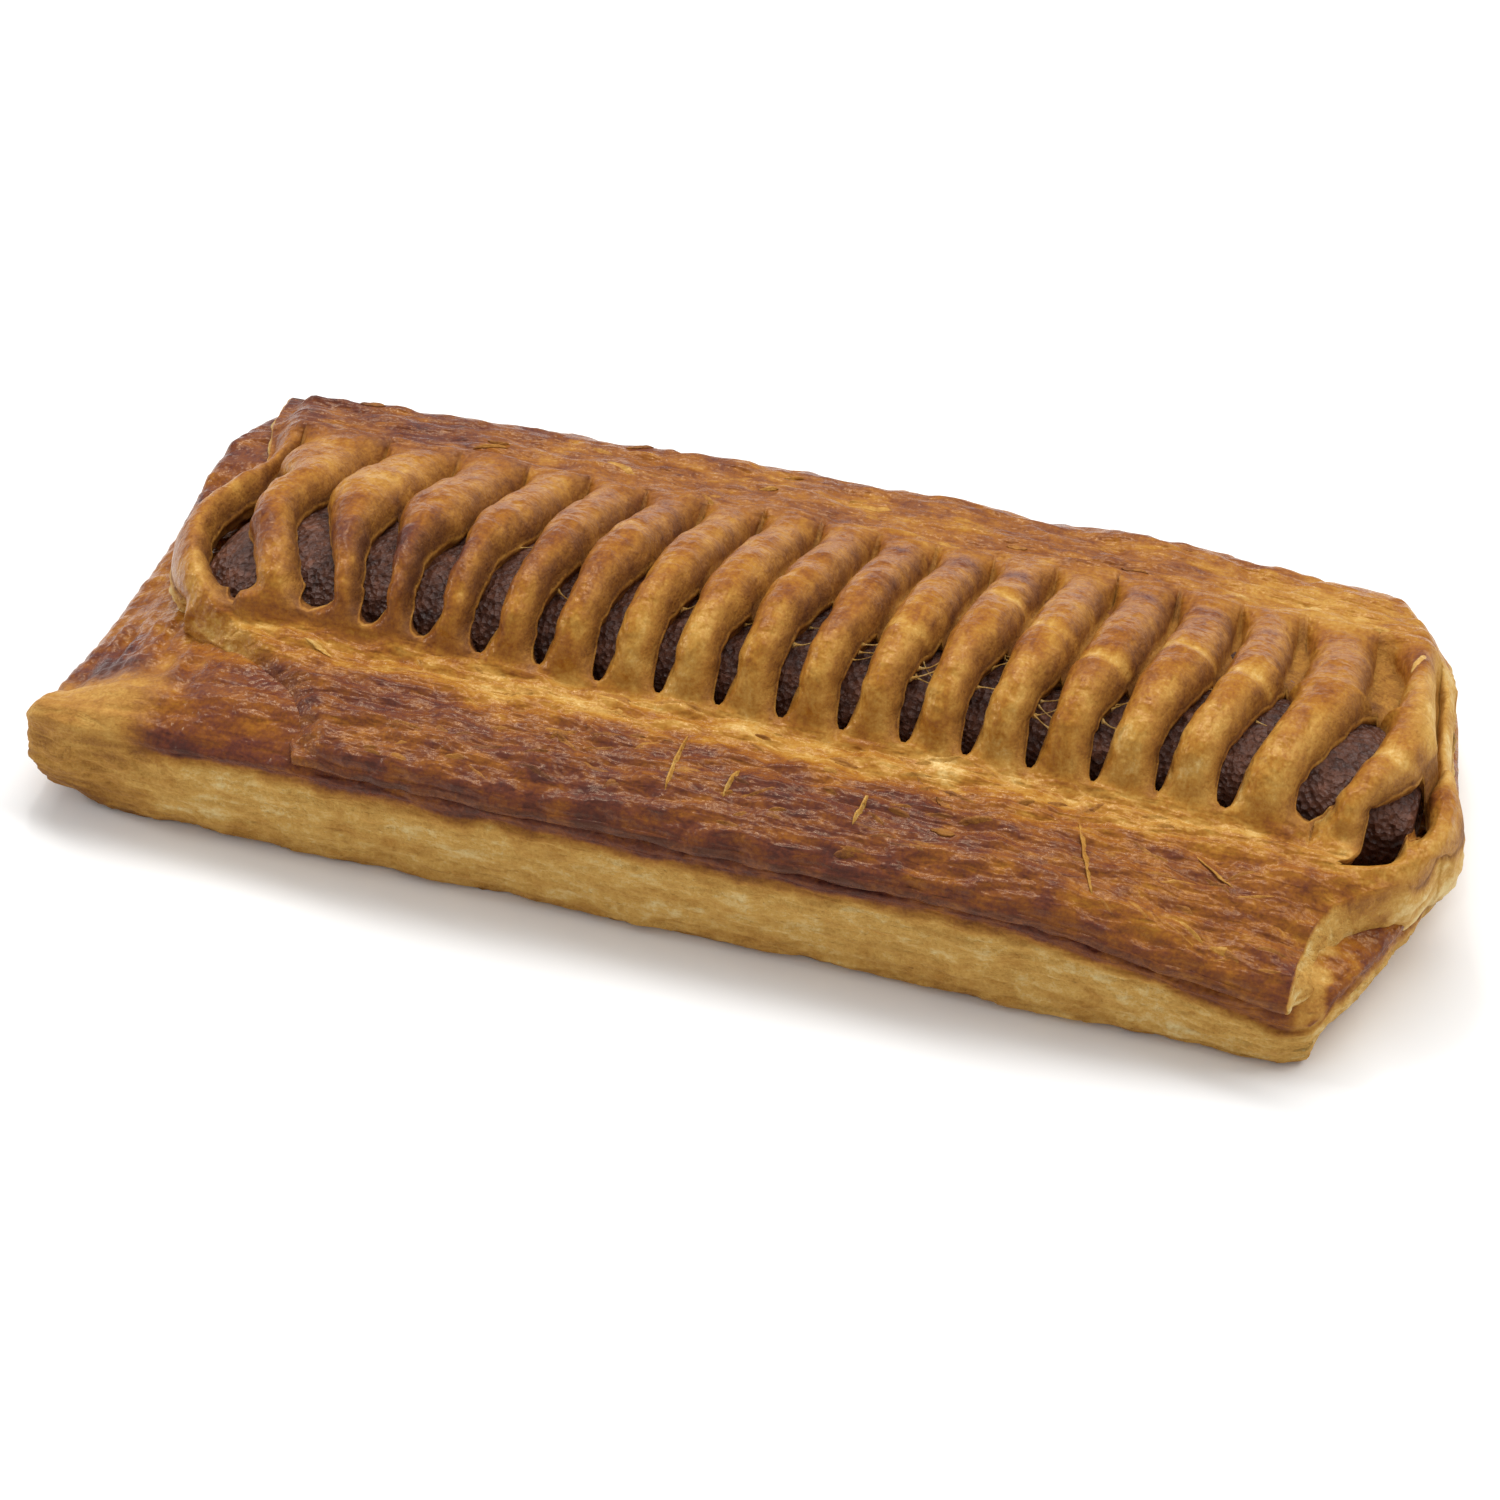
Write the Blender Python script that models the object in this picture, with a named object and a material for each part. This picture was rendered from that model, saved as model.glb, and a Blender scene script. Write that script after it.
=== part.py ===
"""A lattice-topped sausage roll: a risen base sheet of puff pastry, a rod of sausage meat on it,
and a slit pastry lid whose strips arch over the meat. X runs along the roll, -Y is its front."""

import math

import bmesh
import bpy
from mathutils import Vector, noise

MM = 0.001
GAP = 0.3 * MM

# The roll as a whole. The join is where the lid lies on the base sheet. It sinks at both ends.
FRONT_Y = -37.6 * MM
BACK_Y = 36.9 * MM
JOIN_Z = 14.2 * MM
RIGHT_JOIN_DROP = 5.2 * MM
LEFT_JOIN_DROP = 1.4 * MM
BACK_JOIN_DROP = 1.5 * MM
BACK_BOW = 0.9 * MM
BACK_BOW_FALL = 2.4 * MM
BACK_BOW_MIDDLE_X = 11.0 * MM

# The meat. It is steep in front and slopes off to the back, and both its ends are rounded.
MEAT_LEFT_X = -72.2 * MM
MEAT_RIGHT_X = 79.2 * MM
MEAT_CREST_Y = -4.0 * MM
MEAT_Z = 14.6 * MM
MEAT_FRONT_WIDTH = 11.3 * MM
MEAT_BACK_WIDTH = 22.0 * MM
MEAT_HALF_HEIGHT = 9.4 * MM
MEAT_FRONT_SQUARENESS = 2.6
MEAT_BACK_SQUARENESS = 1.55
# What is left of the height and of both widths at the meat's ends.
MEAT_END_HEIGHT = 0.35
MEAT_FRONT_END = 0.8
MEAT_BACK_END = 0.3
MEAT_UNEVENNESS = 0.015
MEAT_RINGS = 22
MEAT_SIDES = 26

# The base sheet's side, as height up to the join and inset from its widest line.
BASE_SIDE = ((0.0, 1.5 * MM), (0.28, 0.3 * MM), (0.62, 0.0), (0.94, 0.9 * MM))
BASE_COLUMNS = 20
BASE_ROWS = 12
BASE_WAVES = 0.5 * MM
LEFT_UNDERCUT = 4.5 * MM
LEFT_LIFT = 1.8 * MM
# The base sheet's left and right edges in plan: (y, x).
BASE_LEFT_EDGE = (
    (-37.6, -80.0), (-36.6, -84.6), (-34.0, -85.6), (-28.0, -85.7), (-10.0, -85.0),
    (8.0, -84.2), (22.0, -82.8), (31.0, -81.4), (35.2, -79.8), (36.9, -76.5),
)
BASE_RIGHT_EDGE = (
    (-37.6, 71.0), (-36.6, 74.4), (-32.0, 77.2), (-27.0, 79.4), (-19.0, 82.0), (-8.0, 84.4),
    (2.0, 84.6), (12.0, 82.8), (24.0, 80.6), (32.0, 78.0), (35.8, 75.5), (36.9, 72.0),
)

# The lid. Its strips lie between slits, and a loop closes the lattice at each end.
SLITS = 19
PITCH = 7.62 * MM
FIRST_SLIT_X = -63.4 * MM
STRIP_WIDTH = 6.2 * MM
LEFT_LOOP_WIDTH = 7.6 * MM
RIGHT_LOOP_WIDTH = 4.2 * MM
RIGHT_LOOP_THINNEST = 2.0 * MM
SLIT_HALF_WIDTH = 0.95 * MM
SLIT_TIP_HALF_WIDTH = 0.35 * MM
SLIT_FOOT_Y = -18.4 * MM
# How far back each slit stays open, as a distance from its foot.
SLIT_LENGTHS = (26, 22, 17, 15, 19, 11, 15, 10, 7, 17, 10, 12, 13, 9, 9, 16, 18, 18, 9)
STRIP_ROUNDING = 1.3 * MM
GROOVE_DEPTH = 1.1 * MM
LID_BUMPS = 0.45 * MM
LID_ROWS = 22
STEPS_ACROSS_STRIP = 3
DOME_FOOT_Z = 19.6 * MM
DOME_FOOT_FALL = 0.7 * MM
MIN_LID = 1.8 * MM
# How far the lid falls towards its ends, and how much more behind the right-hand loop.
END_FALL = 3.2 * MM
RIGHT_BACK_FALL = 5.0 * MM
# What fades away from an end of the lattice: its size there, and how many strips it reaches.
LEAN = 1.3
LEFT_LEAN = (-7.0, 1.7)
RIGHT_LEAN = (10.0, 2.6)
LEFT_DOME_LOSS = (0.66, 0.9)
RIGHT_DOME_LOSS = (0.86, 1.1)
# How far along the section a slit starts past the strips' foot.
LEFT_FOOT_SHIFT = (1.0, 4.0)
RIGHT_FOOT_SHIFT = (0.6, 4.0)
LAST_FOOT_SHIFT = -1.0

# The lid's upper side at mid-length, from its front edge over the strips to its back edge.
LID_SECTION = (
    (-37.6, 15.6), (-36.6, 17.3), (-32.5, 18.9), (-27.0, 19.5), (-21.5, 19.8),
    (-18.6, 20.8), (-17.4, 24.2), (-15.2, 27.2), (-11.0, 29.0), (-5.0, 29.3),
    (2.0, 27.9), (9.0, 25.2), (16.0, 21.9), (23.0, 19.0), (29.5, 17.3),
    (34.2, 16.3), (36.2, 14.6),
)
FOOT_PLACE = 5
# The lid's left and right edges in plan: (y, x).
LID_LEFT_EDGE = (
    (-38, -49), (-32, -51.5), (-27, -55.5), (-23, -62), (-18, -71), (-12, -76), (-4, -78.8),
    (4, -78.6), (11, -76.5), (18, -74.5), (26, -76), (38, -77.5),
)
LID_RIGHT_EDGE = (
    (-38, 71.3), (-31, 71.6), (-26, 73.5), (-23, 77.5), (-20, 82), (-16, 84.6), (-9, 85.7),
    (-2, 83.8), (5, 82.4), (12, 81.4), (20, 80.2), (27, 78.2), (33, 75.4), (38, 72.5),
)


def clear_scene():
    for obj in list(bpy.data.objects):
        bpy.data.objects.remove(obj)


def smooth_step(low, high, value):
    share = min(1.0, max(0.0, (value - low) / (high - low)))
    return share * share * (3.0 - 2.0 * share)


def between(low, high, value):
    """smooth_step with its two places in millimetres."""
    return smooth_step(low, high, value / MM)


def mix(a, b, share):
    return a + (b - a) * share


def fading(size_and_reach, distance):
    size, reach = size_and_reach
    return size * math.exp(-distance / reach)


def wobble(seed, across, up):
    """Slow, even unevenness of dough, from -1 to 1."""
    return noise.noise(Vector((across + seed, up + seed * 2.3, seed * 7.31)))


def through(points, value):
    """A smooth curve through (place, height) points, read at a place."""
    last = len(points) - 1
    index = min(last - 1, max(0, sum(place <= value for place, _ in points) - 1))
    slopes = []
    for end in (index, index + 1):
        (x0, y0), (x1, y1) = points[max(0, end - 1)], points[min(last, end + 1)]
        slopes.append((y1 - y0) / (x1 - x0))
    (x0, y0), (x1, y1) = points[index], points[index + 1]
    width = x1 - x0
    t = min(1.0, max(0.0, (value - x0) / width))
    rise = (3 - 2 * t) * t * t
    bend = slopes[0] * t * (1 - t) ** 2 - slopes[1] * t * t * (1 - t)
    return mix(y0, y1, rise) + bend * width


def edge_at(points, y):
    """X of an edge in plan that is given by (y, x) points in millimetres."""
    return through(points, y / MM) * MM


def join_height(x, y):
    """Height of the sheet that the lid lies on."""
    right = RIGHT_JOIN_DROP * between(34, 74, x)
    left = LEFT_JOIN_DROP * between(-62, -82, x) * between(30, 0, y)
    return JOIN_Z - right - left - BACK_JOIN_DROP * between(22, 36, y)


def back_bow(x, y):
    """How far the back edge bows out past a straight line, or falls short of it at the ends."""
    from_middle = (x - BACK_BOW_MIDDLE_X) / (BACK_Y - FRONT_Y)
    return between(20, 36, y) * (BACK_BOW - BACK_BOW_FALL * from_middle ** 2)


def make_object(name, bm, collection, material=None):
    bmesh.ops.recalc_face_normals(bm, faces=bm.faces)
    mesh = bpy.data.meshes.new(name)
    bm.to_mesh(mesh)
    bm.free()
    obj = bpy.data.objects.new(name, mesh)
    collection.objects.link(obj)
    if material:
        mesh.materials.append(material)
    return obj


def food(name, color, roughness):
    material = bpy.data.materials.new(name)
    material.use_nodes = True
    shader = material.node_tree.nodes["Principled BSDF"]
    shader.inputs["Base Color"].default_value = (*color, 1.0)
    shader.inputs["Roughness"].default_value = roughness
    shader.inputs["Metallic"].default_value = 0.0
    return material


def raise_faces(bm, faces, step, drop_old):
    """Extrudes faces by a step and returns the new ones. What they leave inside is dropped."""
    raised = bmesh.ops.extrude_face_region(bm, geom=faces)["geom"]
    if drop_old:
        bmesh.ops.delete(bm, geom=faces, context="FACES")
    moved = [item for item in raised if isinstance(item, bmesh.types.BMVert)]
    bmesh.ops.translate(bm, verts=moved, vec=step)
    return [item for item in raised if isinstance(item, bmesh.types.BMFace)]


def slab(columns, rows, layers, is_open=None):
    """A closed slab over a grid, cut through in the cells where is_open says so. Its vertices
    hold (column, row, layer), for place_vertices to turn into places."""
    bm = bmesh.new()
    bmesh.ops.create_grid(bm, x_segments=columns, y_segments=rows, size=0.5)
    for vert in bm.verts:
        vert.co.x = round((vert.co.x + 0.5) * columns)
        vert.co.y = round((vert.co.y + 0.5) * rows)
    if is_open:
        middles = [(face, face.calc_center_median()) for face in bm.faces]
        cut_out = [face for face, middle in middles if is_open(int(middle.x), int(middle.y))]
        bmesh.ops.delete(bm, geom=cut_out, context="FACES")
    top = list(bm.faces)
    for layer in range(1, layers):
        top = raise_faces(bm, top, Vector((0, 0, 1)), layer > 1)
    return bm


def place_vertices(bm, point_of):
    places = [point_of(*(round(value) for value in vert.co)) for vert in bm.verts]
    for vert, place in zip(bm.verts, places):
        vert.co = place
    return bm


def meat_point(ring, angle, growth):
    """A place on the skin of the meat's ring of this number, or growth outside it."""
    along = 0.5 - 0.5 * math.cos(math.pi * ring / MEAT_RINGS)
    fullness = (1.0 - abs(2.0 * along - 1.0) ** 5) ** 0.5
    across, up = math.cos(angle), math.sin(angle)
    if across < 0:
        power, width = MEAT_FRONT_SQUARENESS, MEAT_FRONT_WIDTH * mix(MEAT_FRONT_END, 1.0, fullness)
    else:
        power, width = MEAT_BACK_SQUARENESS, MEAT_BACK_WIDTH * mix(MEAT_BACK_END, 1.0, fullness)
    height = MEAT_HALF_HEIGHT * mix(MEAT_END_HEIGHT, 1.0, fullness)
    x = mix(MEAT_LEFT_X - growth, MEAT_RIGHT_X + growth, along)
    uneven = 1.0 + MEAT_UNEVENNESS * wobble(3, x / MM / 11, across + 2.0 * up)
    reach = (abs(across) ** power + abs(up) ** power) ** (-1.0 / power)
    y = MEAT_CREST_Y + across * reach * (width * uneven + growth)
    return Vector((x, y, MEAT_Z + up * reach * (height * uneven + growth)))


def meat_rod(growth):
    """The rolled sausage meat: rings of a rounded block, closed at both ends."""
    bm = bmesh.new()
    ring = bmesh.ops.create_circle(bm, cap_ends=True, segments=MEAT_SIDES, radius=1.0)["verts"]
    for vert in ring:
        vert.co = (0.0, vert.co.x, vert.co.y)
    cap = list(bm.faces)
    for number in range(MEAT_RINGS):
        cap = raise_faces(bm, cap, Vector((1, 0, 0)), number > 0)
    for vert in bm.verts:
        vert.co = meat_point(vert.co.x, math.atan2(vert.co.z, vert.co.y), growth)
    return bm


def base_point(column, row, layer):
    """A place on the base sheet. Layer 0 is its underside and the last one its upper side."""
    height, inset = BASE_SIDE[layer]
    along = math.sin(math.pi * (column / BASE_COLUMNS - 0.5))
    across = math.sin(math.pi * (row / BASE_ROWS - 0.5))
    y = mix(FRONT_Y, BACK_Y, 0.5 + 0.5 * across)
    left = edge_at(BASE_LEFT_EDGE, y) + inset + max(0.0, 1.0 - 2.0 * height) * LEFT_UNDERCUT
    right = edge_at(BASE_RIGHT_EDGE, y) - inset
    x = mix(left, right, 0.5 + 0.5 * along)
    y += back_bow(x, y) - inset * across * abs(across) ** 3
    y += BASE_WAVES * across * wobble(1, x / MM / 13, height * 2)
    # The upper side is level with the join but for a narrow rounded rim.
    rim = max(abs(along) ** 60, abs(across) ** 24) if layer == len(BASE_SIDE) - 1 else 1.0
    z = (join_height(x, y) - GAP / 2) * mix(1.0, height, rim)
    lift = LEFT_LIFT * between(10, -34, y) * between(-72, -84, x)
    return Vector((x, y, z + lift * (1.0 - height) ** 2))


def section_at(place):
    """The lid's section as (y, z) at a place that runs from 0 to 1, in metres."""
    number = place * (len(LID_SECTION) - 1)
    return [through(list(enumerate(values)), number) * MM for values in zip(*LID_SECTION)]


def slit_x(slit, y):
    """Where a slit's middle line runs. The lattice fans out over both ends of the meat."""
    from_left, from_right = slit - 1, SLITS - slit
    lean = LEAN + fading(LEFT_LEAN, from_left) + fading(RIGHT_LEAN, from_right)
    leaning = between(-19, 3, y) * (1.0 - 0.4 * between(12, 32, y))
    x = FIRST_SLIT_X + from_left * PITCH + lean * leaning * MM
    right_end = edge_at(LID_RIGHT_EDGE, y)
    left_shift = edge_at(LID_LEFT_EDGE, y) - (FIRST_SLIT_X - PITCH)
    right_shift = right_end - (FIRST_SLIT_X + SLITS * PITCH)
    # A margin that is shorter than the lattice draws in many slits, a longer one only a few.
    x += fading((left_shift, 9 if left_shift < 0 else 42), slit * PITCH / MM)
    x += fading((right_shift, 5 if right_shift > 0 else 40), (from_right + 1) * PITCH / MM)
    beside_it = RIGHT_LOOP_THINNEST + SLIT_TIP_HALF_WIDTH + from_right * STRIP_WIDTH
    return min(x, right_end - beside_it)


def slit_end_y(slit):
    return SLIT_FOOT_Y + SLIT_LENGTHS[slit - 1] * MM


def slit_half_width(slit, y):
    """Half of a slit's width: blunt at its foot, narrow where its strips meet."""
    end = slit_end_y(slit)
    share = smooth_step(mix(SLIT_FOOT_Y, end, 0.2), end, y)
    return mix(SLIT_HALF_WIDTH, SLIT_TIP_HALF_WIDTH, share)


def strip_edges(strip, y):
    """A strip's left and right edges at this distance from the front."""
    lattice = between(-23, -18.5, y) * (1.0 - between(6, 16, y))
    if strip == 0:
        left_end = edge_at(LID_LEFT_EDGE, y)
        inner = slit_x(1, y) - slit_half_width(1, y)
        return left_end, mix(inner, left_end + LEFT_LOOP_WIDTH, lattice)
    right_end = edge_at(LID_RIGHT_EDGE, y)
    if strip == SLITS:
        beside = strip_edges(SLITS - 1, y)[1] + 2 * SLIT_TIP_HALF_WIDTH
        inner = slit_x(SLITS, y) + slit_half_width(SLITS, y)
        inner = mix(inner, right_end - RIGHT_LOOP_WIDTH, lattice)
        return max(inner, beside), right_end
    left = slit_x(strip, y) + slit_half_width(strip, y)
    right = slit_x(strip + 1, y) - slit_half_width(strip + 1, y)
    if strip == 1:
        left = mix(left, right - STRIP_WIDTH, lattice)
    if strip == SLITS - 1:
        right = mix(right, left + STRIP_WIDTH, lattice)
        right = min(right, right_end - RIGHT_LOOP_THINNEST - 2 * SLIT_TIP_HALF_WIDTH)
    return left, right


def end_fall(x, y):
    """How far the lid falls towards its nearer end."""
    fall = END_FALL * between(-38, -30, y)
    if x > 0:
        fall += RIGHT_BACK_FALL * between(-4, 5, y)
    from_end = min(x - edge_at(LID_LEFT_EDGE, y), edge_at(LID_RIGHT_EDGE, y) - x)
    return fall * (1.0 - between(-1, 4.5, from_end))


def lid_point(column, row, layer):
    """A place on the lid. Layer 1 is its upper side, and layer 0 the side on the join."""
    strip, step = divmod(column, STEPS_ACROSS_STRIP + 1)
    across = 2.0 * step / STEPS_ACROSS_STRIP - 1.0
    place = row / LID_ROWS
    y, full_z = section_at(place)
    x = mix(*strip_edges(strip, y), 0.5 + 0.5 * across)
    if layer == 0:
        y = mix(LID_SECTION[0][0], LID_SECTION[-1][0], place) * MM * 0.985
        y += back_bow(x, y)
        return Vector((x, y, join_height(x, y) + GAP / 2))

    # A strip rises from the foot line, and the loops round the ends stay low.
    foot_z = min(full_z, DOME_FOOT_Z - DOME_FOOT_FALL * between(-21, 23, y))
    dome = 1.0 - fading(LEFT_DOME_LOSS, strip) - fading(RIGHT_DOME_LOSS, SLITS - strip)
    # Across, a strip is rounded, with a groove beside it where its slit has closed.
    lattice = between(-21, -17, y) * (1.0 - between(14, 25, y))
    slit_end = slit_end_y(min(strip + 1, SLITS)) / MM
    groove = GROOVE_DEPTH * between(slit_end - 2, slit_end + 3, y)
    dip = (STRIP_ROUNDING * across ** 2 + groove * across ** 8) * lattice
    bumps = LID_BUMPS * wobble(5, x / MM / 9, y / MM / 7) * (1.0 - 0.5 * lattice)
    ahead_y, ahead_z = section_at(min(1.0, place + 0.02))
    behind_y, behind_z = section_at(max(0.0, place - 0.02))
    outward = Vector((0.0, behind_z - ahead_z, ahead_y - behind_y)).normalized()
    point = Vector((x, y + back_bow(x, y), mix(foot_z, full_z, dome)))
    point += outward * (bumps - dip)

    # The front edge and both ends sink with the join, and the lid never gets too thin.
    sunk = JOIN_Z - join_height(x, 0.0)
    point.z -= sunk * mix(0.15, 1.0, between(-20, -34, y)) + end_fall(x, y)
    point.z = max(point.z, join_height(x, point.y) + GAP / 2 + MIN_LID)
    return point


def is_slit(column, row):
    """True in the cells of an open slit."""
    from_left, step = divmod(column, STEPS_ACROSS_STRIP + 1)
    if step != STEPS_ACROSS_STRIP:
        return False
    from_right = SLITS - 1 - from_left
    shift = fading(LEFT_FOOT_SHIFT, from_left) + fading(RIGHT_FOOT_SHIFT, from_right)
    if from_right == 0:
        shift = LAST_FOOT_SHIFT
    place = (row + 0.5) / LID_ROWS
    past_foot = place * (len(LID_SECTION) - 1) >= FOOT_PLACE + shift
    return past_foot and section_at(place)[0] <= slit_end_y(from_left + 1)


def cut(obj, cutter):
    """Cuts with the MANIFOLD solver: EXACT loses the whole lid, whose slits bend it many ways."""
    modifier = obj.modifiers.new("room for the meat", "BOOLEAN")
    modifier.operation = "DIFFERENCE"
    modifier.solver = "MANIFOLD"
    modifier.object = cutter


def main():
    clear_scene()
    parts = bpy.data.collections.new("sausage_roll")
    cutters = bpy.data.collections.new("cutters")
    bpy.context.scene.collection.children.link(parts)
    bpy.context.scene.collection.children.link(cutters)

    room = make_object("meat_room", meat_rod(GAP), cutters)
    room.hide_render = True
    room.display_type = "WIRE"

    base_bm = place_vertices(slab(BASE_COLUMNS, BASE_ROWS, len(BASE_SIDE)), base_point)
    base = make_object("pastry_base", base_bm, parts, food("base_pastry", (0.42, 0.24, 0.08), 0.6))
    cut(base, room)

    lid_columns = (STEPS_ACROSS_STRIP + 1) * (SLITS + 1) - 1
    lid_bm = place_vertices(slab(lid_columns, LID_ROWS, 2, is_slit), lid_point)
    lid = make_object("pastry_lid", lid_bm, parts, food("glazed_pastry", (0.36, 0.15, 0.04), 0.35))
    cut(lid, room)

    make_object("sausage_meat", meat_rod(0.0), parts, food("cooked_meat", (0.09, 0.04, 0.03), 0.6))


main()
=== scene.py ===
"""A lattice-topped sausage roll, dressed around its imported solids: a risen base sheet of puff
pastry, a rod of sausage meat on it, and a glazed pastry lid whose strips arch over the meat."""

import math
import random

import bmesh
import bpy
import numpy as np
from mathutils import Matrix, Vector, noise


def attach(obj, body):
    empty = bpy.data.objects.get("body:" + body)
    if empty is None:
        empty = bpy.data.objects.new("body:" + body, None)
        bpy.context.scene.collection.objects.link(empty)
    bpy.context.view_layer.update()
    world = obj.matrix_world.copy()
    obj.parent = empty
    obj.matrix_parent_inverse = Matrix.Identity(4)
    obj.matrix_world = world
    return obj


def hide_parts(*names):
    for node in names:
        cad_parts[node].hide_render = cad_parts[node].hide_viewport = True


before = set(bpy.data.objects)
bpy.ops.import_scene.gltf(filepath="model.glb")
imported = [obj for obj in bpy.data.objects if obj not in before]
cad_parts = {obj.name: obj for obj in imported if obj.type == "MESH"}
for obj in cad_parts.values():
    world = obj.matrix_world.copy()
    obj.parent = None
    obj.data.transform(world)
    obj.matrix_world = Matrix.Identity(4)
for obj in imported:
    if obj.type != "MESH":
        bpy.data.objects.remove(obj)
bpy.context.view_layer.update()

# ---- The camera ------------------------------------------------------------------------------
# A long lens from the front and above, turned a little to the right of the roll.

MM = 0.001
CAMERA_PLACE = Vector((113.16, -367.68, 320.39)) * MM
CAMERA_AIM = Vector((-3.37, -2.12, 0.71)) * MM
FOCAL_LENGTH_MM = 96.0
SENSOR_WIDTH_MM = 36.0
NEAREST_SEEN = 0.01

camera = bpy.data.objects.new("camera", bpy.data.cameras.new("camera"))
bpy.context.scene.collection.objects.link(camera)
camera.data.lens = FOCAL_LENGTH_MM
camera.data.sensor_width = SENSOR_WIDTH_MM
camera.data.clip_start = NEAREST_SEEN
camera.location = CAMERA_PLACE
camera.rotation_euler = (CAMERA_AIM - CAMERA_PLACE).to_track_quat("-Z", "Y").to_euler()
bpy.context.scene.camera = camera
bpy.context.scene.view_settings.view_transform = "Standard"

# ---- The sausage meat ------------------------------------------------------------------------
# A rod of coarse minced pork, steep in front and sloping off to the back, rounded at both ends.
# It is baked inside the pastry, so it is dark, grainy and a little moist where the slits show it.

MEAT_RINGS = 300
MEAT_SIDES = 120
MEAT_CAP_RINGS = 10
MEAT_ENDS = (-72.2, 80.0)
MEAT_CREST_Y = -4.0
MEAT_Z = 14.6
MEAT_FRONT_WIDTH = 11.3
MEAT_BACK_WIDTH = 22.0
MEAT_HALF_HEIGHT = 9.4
MEAT_FRONT_SQUARENESS = 2.6
MEAT_BACK_SQUARENESS = 1.55
# What is left of the height and of both widths at the meat's ends.
MEAT_END_HEIGHT = (0.35, 0.42)
MEAT_FRONT_END = 0.8
MEAT_BACK_END = (0.3, 0.3)
# The grains of mince and the larger lumps that they form: size and depth.
GRAIN_MM = 0.8
GRAIN_DEPTH = 0.5
MINCE_MM = 3.2
MINCE_DEPTH = 0.9
# The rod's own lumps: (height, size, seed).
MEAT_LUMPS = ((0.35, 5.0, 3), (0.22, 1.6, 8), (0.16, 0.9, 12))


def mix(a, b, share):
    return a + (b - a) * share


def ease(low, high, value):
    """0 before low, 1 after high, and smooth between them."""
    share = np.clip((value - low) / (high - low), 0.0, 1.0)
    return share * share * (3.0 - 2.0 * share)


def uneven(x, y, z, size, seed):
    """Smooth random unevenness from -1 to 1, whose bumps are this many millimetres each way."""
    places = zip(x / size[0] + seed, y / size[1] + seed * 2.3, z / size[2] + seed * 0.7)
    return np.array([noise.noise(place) for place in places])


def grid_mesh(columns, rows):
    """A bmesh grid whose vertices hold (column, row, 0)."""
    bm = bmesh.new()
    bmesh.ops.create_grid(bm, x_segments=columns, y_segments=rows, size=0.5)
    for vert in bm.verts:
        vert.co.x = round((vert.co.x + 0.5) * columns)
        vert.co.y = round((vert.co.y + 0.5) * rows)
    return bm


def codes_of(bm):
    """What each vertex holds before it is put in its place: columns, rows and layers."""
    return np.array([vert.co for vert in bm.verts]).round().astype(int).T


def put(bm, x, y, z):
    """Moves each vertex to its place, given in millimetres."""
    for vert, place in zip(bm.verts, np.stack((x, y, z), 1) * MM):
        vert.co = place


def finished(name, bm, material, **attributes):
    """The piece as a smooth object, with a number for each vertex under each attribute's name."""
    mesh = bpy.data.meshes.new(name)
    bm.to_mesh(mesh)
    bm.free()
    for label, values in attributes.items():
        mesh.attributes.new(label, "FLOAT", "POINT").data.foreach_set("value", values)
    mesh.shade_smooth()
    mesh.materials.append(material)
    obj = bpy.data.objects.new(name, mesh)
    bpy.context.scene.collection.objects.link(obj)
    return obj


def linear(colour):
    """An sRGB hex colour as linear red, green, blue and alpha."""
    channels = [int(colour[place:place + 2], 16) / 255 for place in (1, 3, 5)]
    return [c / 12.92 if c <= 0.04045 else ((c + 0.055) / 1.055) ** 2.4 for c in channels] + [1.0]


def add(tree, kind, inputs=(), stops=(), **settings):
    """Adds a node with its settings, its colour stops, both ends first, and its inputs: values or
    other nodes' outputs."""
    node = tree.nodes.new("ShaderNode" + kind)
    for name, value in settings.items():
        setattr(node, name, value)
    for socket, value in dict(inputs).items():
        if isinstance(value, bpy.types.NodeSocket):
            tree.links.new(value, node.inputs[socket])
        else:
            node.inputs[socket].default_value = value
    for number, (place, colour) in enumerate(stops):
        if number < 2:
            stop = node.color_ramp.elements[number]
            stop.position = place
        else:
            stop = node.color_ramp.elements.new(place)
        stop.color = linear(colour)
    return node


def new_material(name):
    """A material with its nodes, its shader and the object coordinates in millimetres."""
    material = bpy.data.materials.new(name)
    material.use_nodes = True
    tree = material.node_tree
    coordinates = add(tree, "TexCoord").outputs["Object"]
    in_mm = add(tree, "VectorMath", {0: coordinates, 1: [1 / MM] * 3}, operation="MULTIPLY")
    return material, tree, tree.nodes["Principled BSDF"], in_mm.outputs["Vector"]


# Cooked minced pork: coarse grains of lean and fat, with a thin film of fat that shines a little.
meat_finish, tree, shader, in_mm = new_material("cooked minced pork")
grains = add(tree, "TexVoronoi", {"Vector": in_mm, "Scale": 1 / GRAIN_MM, "Randomness": 1.0})
mince = add(
    tree, "TexNoise", {"Vector": in_mm, "Scale": 1 / MINCE_MM, "Detail": 6.0, "Roughness": 0.7})
meat_colour = add(
    tree, "ValToRGB", {"Fac": mince.outputs["Fac"]},
    stops=((0.3, "#30180F"), (0.72, "#96624A"), (0.42, "#4C2B1E"), (0.56, "#68402E")),
)
tree.links.new(meat_colour.outputs["Color"], shader.inputs["Base Color"])
grain_bump = add(
    tree, "Bump",
    {"Height": grains.outputs["Distance"], "Strength": 1.0, "Distance": GRAIN_DEPTH * MM})
meat_bump = add(
    tree, "Bump", {
        "Height": mince.outputs["Fac"], "Strength": 0.8, "Distance": MINCE_DEPTH * MM,
        "Normal": grain_bump.outputs["Normal"]})
tree.links.new(meat_bump.outputs["Normal"], shader.inputs["Normal"])
shader.inputs["Roughness"].default_value = 0.42
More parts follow.
